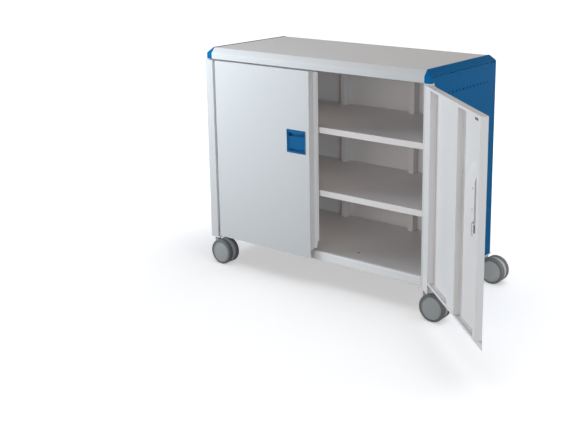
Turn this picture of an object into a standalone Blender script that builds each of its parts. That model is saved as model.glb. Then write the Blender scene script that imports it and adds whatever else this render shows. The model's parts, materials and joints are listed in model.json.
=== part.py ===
"""Mobile storage cabinet: two steel doors, two shelves and four twin-wheel swivel casters.

Metres, +Z up. Pieces are drawn with both doors closed, X = 0 in the middle of the width, Y = 0 in
the middle of the depth with the front facing -Y, and Z = 0 on the floor. The right door then swings
open, and the whole cabinet moves so that the middle of its box, at floor level, is the origin.
"""

import math

import bmesh
import bpy
from mathutils import Matrix, Vector

# Clearances
SEAT_GAP = 0.0003
RUN_GAP = 0.0005

# Carcass
BODY_WIDTH = 1.000
BODY_DEPTH = 0.455
OVERALL_HEIGHT = 0.860
SHEET = 0.0015
CHAMFER_RUN = 0.0173
CHAMFER_DROP = 0.0215
LIP_HEIGHT = 0.0225

# End panels with their row of vents
END_THICKNESS = 0.025
END_WALL = 0.002
VENT_COUNT = 14
VENT_PITCH = 0.024
VENT_WIDTH = 0.006
VENT_HEIGHT = 0.008
VENT_DROP = 0.090

# Face frame, floor and back
STILE_WIDTH = 0.0405
RAIL_HEIGHT = 0.034
RAIL_DEPTH = 0.012
RAIL_FOOT = 0.025
FLOOR_STEP = 0.001
FLOOR_FLANGE = 0.012
FLOOR_REAR_GAP = 0.006
BACK_FOOT = 0.012
BACK_POST_WIDTH = 0.024
BACK_POST_DEPTH = 0.034
BACK_POST_SPREAD = 0.324

# Shelves
UPPER_SHELF_TOP = 0.6077
LOWER_SHELF_TOP = 0.3723
SHELF_FLANGE = 0.020
SHELF_RETURN = 0.012
SHELF_SETBACK = 0.0095

# Doors
DOOR_THICKNESS = 0.0245
DOOR_PROUD = 0.0045
DOOR_SHEET = 0.0012
FRAME_GAP = 0.002
HEAD_GAP = 0.005
SILL_GAP = 0.006
DOOR_SKIRT = 0.030
CENTRE_GAP = 0.003
FREE_LIP = 0.018
END_LIP = 0.009
HINGE_LIP = 0.003
OPEN_ANGLE = math.radians(139)

# Hinge posts and their pivots
POST_WIDTH = 0.040
POST_OVERHANG = 0.008
POST_WALL = 0.0015
POST_CAP = 0.003
POST_CORNER = 0.0065
GROOVE_WIDTH = 0.011
BRACKET_THICKNESS = 0.0035
PIN_RADIUS = 0.004
PIN_LENGTH = 0.012

# Door stiffener
STIFFENER_WIDTH = 0.068
STIFFENER_FLANGE = 0.012

# Pull
PULL_WIDTH = 0.085
PULL_HEIGHT = 0.086
PULL_BOTTOM = 0.506
PULL_FLANGE = 0.0016
PULL_RIM = 0.006
PULL_DRAFT = 0.003
PULL_SHALLOW = 0.008
PULL_DEEP = 0.014
PULL_WALL = 0.002
CUP_SIDE = 0.0018

# Astragal of the left door
ASTRAGAL_REACH = 0.0185
ASTRAGAL_GRIP = 0.022
ASTRAGAL_RISE = 0.012
ASTRAGAL_HEAD_GAP = 0.003
BEAD_WIDTH = 0.0055
BEAD_DEPTH = 0.0035
BEAD_RISE = 0.030

# Lock of the right door
LOCK_SIDE = 0.0008
LOCK_DROP = 0.004
LOCK_RADIUS = 0.007
LOCK_HEAD_RADIUS = 0.009
LOCK_HEAD = 0.003
KEYWAY_WIDTH = 0.002
KEYWAY_HEIGHT = 0.008
COVER_SIDE = 0.009
COVER_FOOT = 0.031
COVER_HEAD = 0.070
COVER_GAP = 0.0015
CAM_LENGTH = 0.040
CAM_WIDTH = 0.012
CAM_THICKNESS = 0.0025

# Corner plates and casters
PLATE_THICKNESS = 0.004
PLATE_LENGTH = 0.080
CASTER_INSET_X = 0.0135
CASTER_INSET_Y = 0.0135
CASTER_TRAIL = 0.037
WHEEL_RADIUS = 0.050
WHEEL_HEADROOM = 0.004
WHEEL_FACETS = 32
TWIN_WIDTH = 0.057
CORE_WIDTH = 0.016
TREAD_DEPTH = 0.010
HUB_SHOULDER = 0.005
HUB_DISH = 0.002
TYRE_SHOULDER = 0.004
TYRE_INSET = 0.0007
AXLE_RADIUS = 0.004
AXLE_COVER = 0.006
STEM_RADIUS = 0.005
SOCKET_SIZE = 0.016
SOCKET_HEIGHT = 0.0112
NECK_WIDTH = 0.016
ROUND_SIDES = 16

# Places that follow from the sizes
HALF_WIDTH = BODY_WIDTH / 2
FRONT = -BODY_DEPTH / 2
REAR = BODY_DEPTH / 2
RIDGE = OVERALL_HEIGHT - CHAMFER_DROP
LIP_BOTTOM = RIDGE - LIP_HEIGHT
END_INNER = HALF_WIDTH - END_THICKNESS
WALL_OUTER = END_INNER - SEAT_GAP
WALL_INNER = WALL_OUTER - SHEET
BAY_HALF = WALL_INNER - SEAT_GAP
UNDERSIDE = 2 * WHEEL_RADIUS + WHEEL_HEADROOM
PLATE_TOP = UNDERSIDE + PLATE_THICKNESS
CARCASS_BOTTOM = PLATE_TOP + SEAT_GAP
DOOR_FRONT = FRONT - DOOR_PROUD
DOOR_BACK = DOOR_FRONT + DOOR_THICKNESS
FRAME_FRONT = DOOR_BACK + FRAME_GAP
BEHIND_STILE = FRAME_FRONT + SHEET + SEAT_GAP
STILE_INNER = HALF_WIDTH - STILE_WIDTH
RAIL_TOP = UNDERSIDE + RAIL_HEIGHT
FLOOR_TOP = RAIL_TOP - FLOOR_STEP
BACK_OUTER = REAR - SHEET - SEAT_GAP
BACK_INNER = BACK_OUTER - SHEET
BACK_TOP = RIDGE - SHEET
BACK_POST_FRONT = BACK_INNER - SEAT_GAP - BACK_POST_DEPTH
POST_OUTER = HALF_WIDTH + POST_OVERHANG
POST_INNER = POST_OUTER - POST_WIDTH
PIVOT = Vector((POST_OUTER - POST_CORNER, DOOR_FRONT + POST_CORNER, 0))
BRACKET_TOP = LIP_BOTTOM - SEAT_GAP
BRACKET_BOTTOM = BRACKET_TOP - BRACKET_THICKNESS
POST_TOP = BRACKET_BOTTOM - RUN_GAP
POST_BOTTOM = PLATE_TOP + RUN_GAP
PANEL_FREE = CENTRE_GAP / 2
PANEL_HINGE = POST_INNER - GROOVE_WIDTH
PANEL_TOP = LIP_BOTTOM - HEAD_GAP
PANEL_BOTTOM = PLATE_TOP + SILL_GAP
PAN_BOTTOM = PANEL_BOTTOM + DOOR_SKIRT
SKIN_INNER = DOOR_FRONT + DOOR_SHEET
LIP_INNER = DOOR_BACK - DOOR_SHEET
COVER_EDGE = PANEL_FREE + FREE_LIP + COVER_GAP
CUP_INSET = PULL_RIM - PULL_WALL
PULL_EDGE = COVER_EDGE + DOOR_SHEET + CUP_SIDE - CUP_INSET
LOCK_EDGE = COVER_EDGE + DOOR_SHEET + LOCK_SIDE + LOCK_RADIUS
LOCK_HEIGHT = PULL_BOTTOM - LOCK_DROP - LOCK_HEAD_RADIUS
ASTRAGAL_BOTTOM = RAIL_TOP + ASTRAGAL_RISE
BEAD_BOTTOM = ASTRAGAL_BOTTOM + BEAD_RISE
HUB_RADIUS = WHEEL_RADIUS - TREAD_DEPTH
AXLE_HEIGHT = WHEEL_RADIUS * math.cos(math.pi / WHEEL_FACETS)
SOCKET_TOP = UNDERSIDE - SEAT_GAP
SOCKET_BOTTOM = SOCKET_TOP - SOCKET_HEIGHT
CUT_MARGIN = 0.002


def linear(red, green, blue):
    """Turn 8-bit screen colour into the linear colour that a shader takes."""
    return tuple((value / 255) ** 2.2 for value in (red, green, blue)) + (1.0,)


def make_material(name, colour, roughness, metallic):
    """Make one plain finish."""
    material = bpy.data.materials.new(name)
    material.use_nodes = True
    shader = material.node_tree.nodes["Principled BSDF"]
    shader.inputs["Base Color"].default_value = linear(*colour)
    shader.inputs["Roughness"].default_value = roughness
    shader.inputs["Metallic"].default_value = metallic
    return material


class Carrier:
    """An empty that carries pieces, and the point of the closed cabinet that it stands on."""

    def __init__(self, name, point, parent=None, turn=0.0):
        self.point = Vector(point)
        self.empty = bpy.data.objects.new(name, None)
        bpy.context.scene.collection.objects.link(self.empty)
        self.empty.location = self.point
        self.empty.rotation_euler = (0, 0, turn)
        if parent:
            self.empty.parent = parent.empty
            self.empty.location = self.point - parent.point


def face_outwards(shape):
    """Point every face of a closed mesh away from its solid."""
    bmesh.ops.recalc_face_normals(shape, faces=shape.faces)
    if shape.calc_volume(signed=True) < 0:
        bmesh.ops.reverse_faces(shape, faces=shape.faces)


def add_piece(name, shape, material, carrier, side=1, smooth=False):
    """Turn a mesh into a named piece on its carrier; side -1 mirrors it to the left."""
    shape.transform(Matrix.Scale(side, 4, Vector((1, 0, 0))))
    face_outwards(shape)
    mesh = bpy.data.meshes.new(name)
    shape.to_mesh(mesh)
    shape.free()
    mesh.materials.append(material)
    if smooth:
        mesh.shade_smooth()
        mesh.set_sharp_from_angle(angle=math.radians(30))
    piece = bpy.data.objects.new(name, mesh)
    bpy.context.scene.collection.objects.link(piece)
    piece.parent = carrier.empty
    piece.location = -carrier.point
    return piece


def box(x_span, y_span, z_span):
    """A plain block between three pairs of limits."""
    shape = bmesh.new()
    spans = (x_span, y_span, z_span)
    middle = Vector([sum(span) / 2 for span in spans])
    size = [abs(span[1] - span[0]) for span in spans]
    matrix = Matrix.Translation(middle) @ Matrix.Diagonal((*size, 1))
    bmesh.ops.create_cube(shape, size=1, matrix=matrix)
    return shape


def prism(outline, axis, span):
    """Extrude a closed outline along X (y, z), Y (x, z) or Z (x, y)."""
    order = {"X": (2, 0, 1), "Y": (0, 2, 1), "Z": (0, 1, 2)}[axis]

    def place(first, second, third):
        values = (first, second, third)
        return Vector([values[index] for index in order])

    shape = bmesh.new()
    face = shape.faces.new([shape.verts.new(place(a, b, span[0])) for a, b in outline])
    extruded = bmesh.ops.extrude_face_region(shape, geom=[face])["geom"]
    moved = [item for item in extruded if isinstance(item, bmesh.types.BMVert)]
    bmesh.ops.translate(shape, verts=moved, vec=place(0, 0, span[1] - span[0]))
    return shape


def offset_path(path, distance, closed=False):
    """Shift a path to its right-hand side, with mitred corners."""
    points = [Vector(point) for point in path]
    shifted = []
    for index, point in enumerate(points):
        neighbours = []
        if closed or index > 0:
            neighbours.append((points[index - 1], point))
        if closed or index < len(points) - 1:
            neighbours.append((point, points[(index + 1) % len(points)]))
        normals = []
        for start, end in neighbours:
            along = (end - start).normalized()
            normals.append(Vector((along.y, -along.x)))
        total = normals[0] + normals[-1]
        shifted.append(point + total * (2 * distance / total.length_squared))
    return shifted


def folded_outline(path, thickness):
    """The outline of a folded sheet: its outer path, and the inner one on the right of it."""
    return [Vector(point) for point in path] + offset_path(path, thickness)[::-1]


def loft(loops):
    """Join four-cornered loops in order and close both ends."""
    shape = bmesh.new()
    rings = [[shape.verts.new(corner) for corner in loop] for loop in loops]
    for near, far in zip(rings, rings[1:]):
        for index in range(4):
            after = (index + 1) % 4
            shape.faces.new((near[index], near[after], far[after], far[index]))
    shape.faces.new(rings[0])
    shape.faces.new(rings[-1])
    return shape


def rectangle(x_span, z_span, y_low, y_high=None):
    """A loop facing Y; with two depths it leans from its lower to its upper edge."""
    y_top = y_low if y_high is None else y_high
    return [
        (x_span[0], y_low, z_span[0]),
        (x_span[1], y_low, z_span[0]),
        (x_span[1], y_top, z_span[1]),
        (x_span[0], y_top, z_span[1]),
    ]


def lathe(profile, sides, closed):
    """Turn a (radius, y) profile about the Y axis, with a flat side down."""
    shape = bmesh.new()
    start = math.pi / sides - math.pi / 2
    verts = [
        shape.verts.new((radius * math.cos(start), y, radius * math.sin(start)))
        for radius, y in profile
    ]
    pairs = list(zip(verts, verts[1:]))
    if closed:
        pairs.append((verts[-1], verts[0]))
    edges = [shape.edges.new(pair) for pair in pairs]
    bmesh.ops.spin(
        shape, geom=verts + edges, cent=(0, 0, 0), axis=(0, 1, 0), angle=math.tau, steps=sides
    )
    bmesh.ops.remove_doubles(shape, verts=shape.verts, dist=1e-6)
    return shape


def rod(centre, radius, span, axis="Z"):
    """A round bar along one axis through a point given by its two other coordinates."""
    angles = [math.tau * (step + 0.5) / ROUND_SIDES for step in range(ROUND_SIDES)]
    outline = [
        (centre[0] + radius * math.cos(angle), centre[1] + radius * math.sin(angle))
        for angle in angles
    ]
    return prism(outline, axis, span)


def combine(base, tool, operation):
    """Cut a tool out of a base, or join it on, and return one mesh."""
    helpers = []
    for shape in (base, tool):
        face_outwards(shape)
        mesh = bpy.data.meshes.new("helper")
        shape.to_mesh(mesh)
        shape.free()
        helper = bpy.data.objects.new("helper", mesh)
        bpy.context.scene.collection.objects.link(helper)
        helpers.append(helper)
    modifier = helpers[0].modifiers.new("combine", "BOOLEAN")
    modifier.operation = operation
    modifier.solver = "EXACT"
    modifier.object = helpers[1]
    depsgraph = bpy.context.evaluated_depsgraph_get()
    result = bmesh.new()
    result.from_object(helpers[0], depsgraph)
    for helper in helpers:
        mesh = helper.data
        bpy.data.objects.remove(helper)
        bpy.data.meshes.remove(mesh)
    return result


def cut(base, *tools):
    """Cut each tool out of the base in turn."""
    for tool in tools:
        base = combine(base, tool, "DIFFERENCE")
    return base


def top_outline():
    """The outer outline of the top from front lip to rear lip, in (y, z)."""
    return [
        (FRONT, LIP_BOTTOM),
        (FRONT, RIDGE),
        (FRONT + CHAMFER_RUN, OVERALL_HEIGHT),
        (REAR - CHAMFER_RUN, OVERALL_HEIGHT),
        (REAR, RIDGE),
        (REAR, LIP_BOTTOM),
    ]


def top_panel():
    """Folded top with front and rear chamfers, lips and a return under the front lip."""
    path = [(FRAME_FRONT - SEAT_GAP, LIP_BOTTOM)] + top_outline()
    return prism(folded_outline(path, SHEET), "X", (-WALL_OUTER, WALL_OUTER))


def end_block(inset, inner, outer):
    """The end panel's outer form, or with an inset the hollow inside it."""
    outline = [
        (BEHIND_STILE, CARCASS_BOTTOM),
        (BEHIND_STILE, LIP_BOTTOM),
        *top_outline()[:-1],
        (REAR, CARCASS_BOTTOM),
    ]
    shape = prism(offset_path(outline, inset, closed=True), "X", (inner, outer))
    normal = Vector((CHAMFER_DROP, 0, END_THICKNESS)).normalized()
    point = Vector((HALF_WIDTH, 0, RIDGE)) - normal * inset
    everything = shape.verts[:] + shape.edges[:] + shape.faces[:]
    cutting = bmesh.ops.bisect_plane(
        shape, geom=everything, plane_co=point, plane_no=normal, clear_outer=True
    )
    rim = [item for item in cutting["geom_cut"] if isinstance(item, bmesh.types.BMEdge)]
    bmesh.ops.contextual_create(shape, geom=rim)
    return shape


def end_panel():
    """Hollow end cap with a bevelled top edge and a row of vents."""
    shape = end_block(0, END_INNER, HALF_WIDTH)
    shape = cut(shape, end_block(END_WALL, END_INNER - CUT_MARGIN, HALF_WIDTH - END_WALL))
    first = -VENT_PITCH * (VENT_COUNT - 1) / 2
    x_span = (HALF_WIDTH - END_WALL - CUT_MARGIN, HALF_WIDTH + CUT_MARGIN)
    middle = OVERALL_HEIGHT - VENT_DROP
    z_span = (middle - VENT_HEIGHT / 2, middle + VENT_HEIGHT / 2)
    for index in range(VENT_COUNT):
        place = first + index * VENT_PITCH
        y_span = (place - VENT_WIDTH / 2, place + VENT_WIDTH / 2)
        shape = cut(shape, box(x_span, y_span, z_span))
    return shape


def side_wall():
    """Flat inner wall that follows the underside of the top."""
    head = offset_path(top_outline(), SHEET + SEAT_GAP)
    outline = [
        (BEHIND_STILE, CARCASS_BOTTOM),
        (BEHIND_STILE, head[2].y),
        head[3],
        (BACK_OUTER, head[4].y),
        (BACK_OUTER, CARCASS_BOTTOM),
    ]
    return prism(outline, "X", (WALL_INNER, WALL_OUTER))


def front_stile():
    """Upright of the face frame, folded back along the opening."""
    path = [
        (HALF_WIDTH, FRAME_FRONT),
        (STILE_INNER, FRAME_FRONT),
        (STILE_INNER, FRAME_FRONT + SHELF_SETBACK - RUN_GAP),
    ]
    return prism(folded_outline(path, SHEET), "Z", (CARCASS_BOTTOM, BRACKET_TOP))


def base_rail():
    """Channel under the door opening."""
    path = [
        (FRAME_FRONT + RAIL_FOOT, UNDERSIDE),
        (FRAME_FRONT, UNDERSIDE),
        (FRAME_FRONT, RAIL_TOP),
        (FRAME_FRONT + RAIL_DEPTH - SEAT_GAP, RAIL_TOP),
    ]
    end = STILE_INNER - SEAT_GAP
    return prism(folded_outline(path, SHEET), "X", (-end, end))


def floor_pan():
    """Floor of the lowest bay, folded down at the front and at the back, short of the back panel."""
    front = FRAME_FRONT + RAIL_DEPTH
    rear = BACK_INNER - FLOOR_REAR_GAP
    path = [
        (front, CARCASS_BOTTOM),
        (front, FLOOR_TOP),
        (rear, FLOOR_TOP),
        (rear, FLOOR_TOP - FLOOR_FLANGE),
    ]
    return prism(folded_outline(path, SHEET), "X", (-BAY_HALF, BAY_HALF))


def back_panel():
    """Flat back with a foot flange."""
    path = [
        (BACK_OUTER, BACK_TOP),
        (BACK_OUTER, CARCASS_BOTTOM),
        (BACK_OUTER - BACK_FOOT, CARCASS_BOTTOM),
    ]
    return prism(folded_outline(path, SHEET), "X", (-BAY_HALF, BAY_HALF))


def back_post():
    """Upright channel on the floor, in front of the back panel."""
    middle = BACK_POST_SPREAD / 2
    left = middle - BACK_POST_WIDTH / 2
    right = middle + BACK_POST_WIDTH / 2
    rear = BACK_INNER - SEAT_GAP
    path = [(right, rear), (right, BACK_POST_FRONT), (left, BACK_POST_FRONT), (left, rear)]
    return prism(folded_outline(path, SHEET), "Z", (FLOOR_TOP + SEAT_GAP, BACK_TOP))


def shelf(top):
    """Shelf folded down at the front and the back, notched round the back posts."""
    front = FRAME_FRONT + SHELF_SETBACK
    rear = BACK_INNER - SEAT_GAP
    bottom = top - SHELF_FLANGE
    path = [
        (front + SHELF_RETURN, bottom),
        (front, bottom),
        (front, top),
        (rear, top),
        (rear, bottom),
    ]
    sheet = prism(folded_outline(path, SHEET), "X", (-BAY_HALF, BAY_HALF))
    depth = (BACK_POST_FRONT - SEAT_GAP, rear + CUT_MARGIN)
    height = (bottom - CUT_MARGIN, top + CUT_MARGIN)
    notch = BACK_POST_WIDTH / 2 + SEAT_GAP
    middles = (-BACK_POST_SPREAD / 2, BACK_POST_SPREAD / 2)
    return cut(sheet, *[box((x - notch, x + notch), depth, height) for x in middles])


def rounded_corner():
    """Points of the hinge post's outer front corner, round about the pivot."""
    angles = [math.radians(-15 * step) for step in range(7)]
    return [
        (PIVOT.x + POST_CORNER * math.cos(angle), PIVOT.y + POST_CORNER * math.sin(angle))
        for angle in angles
    ]


def pivot_pin(span):
    """The hinge pin, or with a wider span the bar that bores its hole."""
    return rod(PIVOT, PIN_RADIUS, span)


def hinge_bracket():
    """Plate under the lip with the upper hinge pin."""
    rear = FRAME_FRONT - SEAT_GAP
    outline = [(STILE_INNER, rear), (POST_OUTER, rear), *rounded_corner(), (STILE_INNER, DOOR_FRONT)]
    plate = prism(outline, "Z", (BRACKET_BOTTOM, BRACKET_TOP))
    pin = pivot_pin((POST_TOP - PIN_LENGTH, BRACKET_TOP - BRACKET_THICKNESS / 2))
    return combine(plate, pin, "UNION")


def front_corner_plate():
    """Plate under the front corner with the lower hinge pin; the caster hangs below it."""
    rear = DOOR_FRONT + PLATE_LENGTH
    outline = [
        (STILE_INNER, rear),
        (HALF_WIDTH, rear),
        (HALF_WIDTH, FRAME_FRONT),
        (POST_OUTER, FRAME_FRONT),
        *rounded_corner(),
        (STILE_INNER, DOOR_FRONT),
    ]
    plate = prism(outline, "Z", (UNDERSIDE, PLATE_TOP))
    pin = pivot_pin((UNDERSIDE + PLATE_THICKNESS / 2, POST_BOTTOM + PIN_LENGTH))
    return combine(plate, pin, "UNION")


def rear_corner_plate():
    """Plate under the rear corner for its caster."""
    return box((STILE_INNER, HALF_WIDTH), (REAR - PLATE_LENGTH, REAR), (UNDERSIDE, PLATE_TOP))


def hinge_post():
    """Hollow post along the door's outer edge, with a strip behind the groove beside it."""
    body = [
        (POST_INNER, DOOR_BACK),
        (POST_OUTER, DOOR_BACK),
        *rounded_corner(),
        (POST_INNER, DOOR_FRONT),
    ]
    strip_edge = PANEL_HINGE + SEAT_GAP
    outline = [
        (strip_edge, DOOR_BACK),
        *body[1:],
        (POST_INNER, DOOR_BACK - POST_WALL),
        (strip_edge, DOOR_BACK - POST_WALL),
    ]
    shape = prism(outline, "Z", (POST_BOTTOM, POST_TOP))
    hollow = offset_path(body, POST_WALL, closed=True)
    bore = PIN_RADIUS + SEAT_GAP
    through = (POST_BOTTOM - CUT_MARGIN, POST_TOP + CUT_MARGIN)
    return cut(
        shape,
        prism(hollow, "Z", (POST_BOTTOM + POST_CAP, POST_TOP - POST_CAP)),
        rod(PIVOT, bore, through),
    )


def door_panel():
    """Door pan: skin with a skirt below the sill, four flanges, and lips round the open back."""
    shape = box((PANEL_FREE, PANEL_HINGE), (DOOR_FRONT, DOOR_BACK), (PANEL_BOTTOM, PANEL_TOP))
    under_x = (PANEL_FREE - CUT_MARGIN, PANEL_HINGE + CUT_MARGIN)
    under_sill = box(
        under_x, (SKIN_INNER, DOOR_BACK + CUT_MARGIN), (PANEL_BOTTOM - CUT_MARGIN, PAN_BOTTOM)
    )
    inside_x = (PANEL_FREE + DOOR_SHEET, PANEL_HINGE - DOOR_SHEET)
    inside_z = (PAN_BOTTOM + DOOR_SHEET, PANEL_TOP - DOOR_SHEET)
    mouth_x = (PANEL_FREE + FREE_LIP, PANEL_HINGE - HINGE_LIP)
    mouth_z = (PAN_BOTTOM + END_LIP, PANEL_TOP - END_LIP)
    hollow = loft([
        rectangle(inside_x, inside_z, SKIN_INNER),
        rectangle(inside_x, inside_z, LIP_INNER),
        rectangle(mouth_x, mouth_z, LIP_INNER),
        rectangle(mouth_x, mouth_z, DOOR_BACK + CUT_MARGIN),
    ])
    pull_x, pull_z = pull_spans(CUP_INSET - SEAT_GAP)
    opening = box(pull_x, (DOOR_FRONT - CUT_MARGIN, SKIN_INNER + CUT_MARGIN), pull_z)
    return cut(shape, under_sill, hollow, opening)


def door_stiffener():
    """Hat section up the middle of the pan."""
    middle = (PANEL_FREE + PANEL_HINGE) / 2
    crown = STIFFENER_WIDTH / 2
    foot = crown + STIFFENER_FLANGE
    base = SKIN_INNER + SEAT_GAP + DOOR_SHEET
    height = LIP_INNER - SEAT_GAP
    path = [
        (middle - foot, base),
        (middle - crown, base),
        (middle - crown, height),
        (middle + crown, height),
        (middle + crown, base),
        (middle + foot, base),
    ]
    span = (PAN_BOTTOM + DOOR_SHEET + SEAT_GAP, PANEL_TOP - DOOR_SHEET - SEAT_GAP)
    return prism(folded_outline(path, DOOR_SHEET), "Z", span)


def pull_spans(inset):
    """The pull's width and height limits, drawn in by an inset."""
    x_span = (PULL_EDGE + inset, PULL_EDGE + PULL_WIDTH - inset)
    z_span = (PULL_BOTTOM + inset, PULL_BOTTOM + PULL_HEIGHT - inset)
    return x_span, z_span


def pull():
    """Recessed pull: flange on the skin, and a cup whose floor leans in towards the top."""
    skin = DOOR_FRONT - SEAT_GAP
    face = skin - PULL_FLANGE
    floor = pull_spans(PULL_RIM + PULL_DRAFT)
    mouth = pull_spans(PULL_RIM)
    flange = pull_spans(0)
    cup = pull_spans(CUP_INSET)
    return loft([
        rectangle(*floor, face + PULL_SHALLOW, face + PULL_DEEP),
        rectangle(*mouth, face),
        rectangle(*flange, face),
        rectangle(*flange, skin),
        rectangle(*cup, skin),
        rectangle(*cup, face + PULL_DEEP + PULL_WALL),
    ])


def astragal():
    """Strip behind the meeting edges, with a bead along its free edge."""
    face = DOOR_BACK + SEAT_GAP
    top = PANEL_TOP - ASTRAGAL_HEAD_GAP
    bead_edge = ASTRAGAL_REACH - BEAD_WIDTH
    outline = [
        (-ASTRAGAL_GRIP, ASTRAGAL_BOTTOM),
        (bead_edge - BEAD_WIDTH, ASTRAGAL_BOTTOM),
        (bead_edge, BEAD_BOTTOM),
        (ASTRAGAL_REACH - BEAD_WIDTH / 2, BEAD_BOTTOM),
        (ASTRAGAL_REACH - BEAD_WIDTH / 2, top),
        (-ASTRAGAL_GRIP, top),
    ]
    strip = prism(outline, "Y", (face, face + DOOR_SHEET))
    bevel = BEAD_DEPTH / 4
    bead = [
        (bead_edge, face),
        (ASTRAGAL_REACH - bevel, face),
        (ASTRAGAL_REACH, face + bevel),
        (ASTRAGAL_REACH, face + BEAD_DEPTH - bevel),
        (ASTRAGAL_REACH - bevel, face + BEAD_DEPTH),
        (bead_edge, face + BEAD_DEPTH),
    ]
    return combine(strip, prism(bead, "Z", (BEAD_BOTTOM, top)), "UNION")


def lock_hole():
    """Bar that bores the lock's hole through the door."""
    radius = LOCK_RADIUS + SEAT_GAP
    span = (DOOR_FRONT - CUT_MARGIN, DOOR_BACK + CUT_MARGIN)
    return rod((LOCK_EDGE, LOCK_HEIGHT), radius, span, "Y")


def lock_cover():
    """Tray inside the door over the pull's cup and the lock."""
    x_span = (COVER_EDGE, PULL_EDGE + PULL_WIDTH - CUP_INSET + COVER_SIDE)
    bottom = LOCK_HEIGHT - COVER_FOOT
    top = PULL_BOTTOM + PULL_HEIGHT + COVER_HEAD
    foot = SKIN_INNER + SEAT_GAP
    face = LIP_INNER - SEAT_GAP
    shape = box(x_span, (foot, face), (bottom, top))
    hollow = box(
        (x_span[0] + DOOR_SHEET, x_span[1] - DOOR_SHEET),
        (foot - CUT_MARGIN, face - DOOR_SHEET),
        (bottom + DOOR_SHEET, top - DOOR_SHEET),
    )
    return cut(shape, hollow, lock_hole())


def cam_face():
    """Where the cam lies against the lock barrel, clear of the astragal's bead."""
    return DOOR_BACK + SEAT_GAP + BEAD_DEPTH + RUN_GAP


def lock_cylinder():
    """Barrel through the door with a round head and a keyway, about its own axis."""
    skin = DOOR_FRONT - SEAT_GAP
    profile = [
        (0, skin - LOCK_HEAD),
        (LOCK_HEAD_RADIUS, skin - LOCK_HEAD),
        (LOCK_HEAD_RADIUS, skin),
        (LOCK_RADIUS, skin),
        (LOCK_RADIUS, cam_face() - SEAT_GAP),
        (0, cam_face() - SEAT_GAP),
    ]
    keyway = box(
        (-KEYWAY_WIDTH / 2, KEYWAY_WIDTH / 2),
        (skin - LOCK_HEAD - CUT_MARGIN, skin - LOCK_HEAD / 2),
        (-KEYWAY_HEIGHT / 2, KEYWAY_HEIGHT / 2),
    )
    return cut(lathe(profile, ROUND_SIDES, closed=False), keyway)


def lock_cam():
    """Flat cam on the inner end of the barrel, hanging down while unlocked."""
    half = CAM_WIDTH / 2
    angles = [math.radians(30 * step) for step in range(7)]
    outline = [(half * math.cos(angle), half * math.sin(angle)) for angle in angles]
    outline += [(-half, half - CAM_LENGTH), (half, half - CAM_LENGTH)]
    return prism(outline, "Y", (cam_face(), cam_face() + CAM_THICKNESS))


def caster_socket():
    """Square block under the corner plate that takes the caster's stem."""
    half = SOCKET_SIZE / 2
    block = box((-half, half), (-half, half), (SOCKET_BOTTOM, SOCKET_TOP))
    bore = (SOCKET_BOTTOM - CUT_MARGIN, SOCKET_TOP + CUT_MARGIN)
    return cut(block, rod((0, 0), STEM_RADIUS + SEAT_GAP, bore))


def caster_body():
    """Core between the wheels, with its neck and stem, bored for the axle."""
    neck = NECK_WIDTH / 2
    neck_top = SOCKET_BOTTOM - RUN_GAP
    outline = [(-neck, neck_top), (neck, neck_top)]
    for step in range(WHEEL_FACETS):
        angle = math.tau * step / WHEEL_FACETS
        x = CASTER_TRAIL + HUB_RADIUS * math.cos(angle)
        outline.append((x, AXLE_HEIGHT + HUB_RADIUS * math.sin(angle)))
    shape = bmesh.new()
    for x, z in outline:
        for y in (-CORE_WIDTH / 2, CORE_WIDTH / 2):
            shape.verts.new((x, y, z))
    hull = bmesh.ops.convex_hull(shape, input=shape.verts)
    bmesh.ops.delete(shape, geom=hull["geom_interior"], context="VERTS")
    shape = combine(shape, rod((0, 0), STEM_RADIUS, (AXLE_HEIGHT, SOCKET_TOP - RUN_GAP)), "UNION")
    width = CORE_WIDTH / 2 + CUT_MARGIN
    bore = rod((CASTER_TRAIL, AXLE_HEIGHT), AXLE_RADIUS + SEAT_GAP, (-width, width), "Y")
    return cut(shape, bore)


def axle_reach():
    """How far the axle runs to each side of the core's middle."""
    return TWIN_WIDTH / 2 - AXLE_COVER


def axle():
    """Steel pin through the core and both hubs."""
    return rod((0, 0), AXLE_RADIUS, (-axle_reach(), axle_reach()), "Y")


def hub(side):
    """Wheel core with a dished cap and a blind bore for the axle."""
    inner = CORE_WIDTH / 2 + RUN_GAP
    outer = TWIN_WIDTH / 2
    bore = AXLE_RADIUS + SEAT_GAP
    profile = [
        (0, outer - HUB_DISH),
        (HUB_RADIUS - HUB_SHOULDER, outer),
        (HUB_RADIUS, outer - HUB_DISH),
        (HUB_RADIUS, inner),
        (bore, inner),
        (bore, axle_reach() + SEAT_GAP),
        (0, axle_reach() + SEAT_GAP),
    ]
    return lathe([(radius, y * side) for radius, y in profile], WHEEL_FACETS, closed=False)


def tyre(side):
    """Tread ring round the hub."""
    inner = CORE_WIDTH / 2 + RUN_GAP
    outer = TWIN_WIDTH / 2 - TYRE_INSET
    seat = HUB_RADIUS + SEAT_GAP
    shoulder = WHEEL_RADIUS - TYRE_SHOULDER
    profile = [
        (seat, inner),
        (shoulder, inner),
        (WHEEL_RADIUS, inner + TYRE_SHOULDER),
        (WHEEL_RADIUS, outer - TYRE_SHOULDER),
        (shoulder, outer),
        (seat, outer - HUB_DISH),
    ]
    return lathe([(radius, y * side) for radius, y in profile], WHEEL_FACETS, closed=True)


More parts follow.
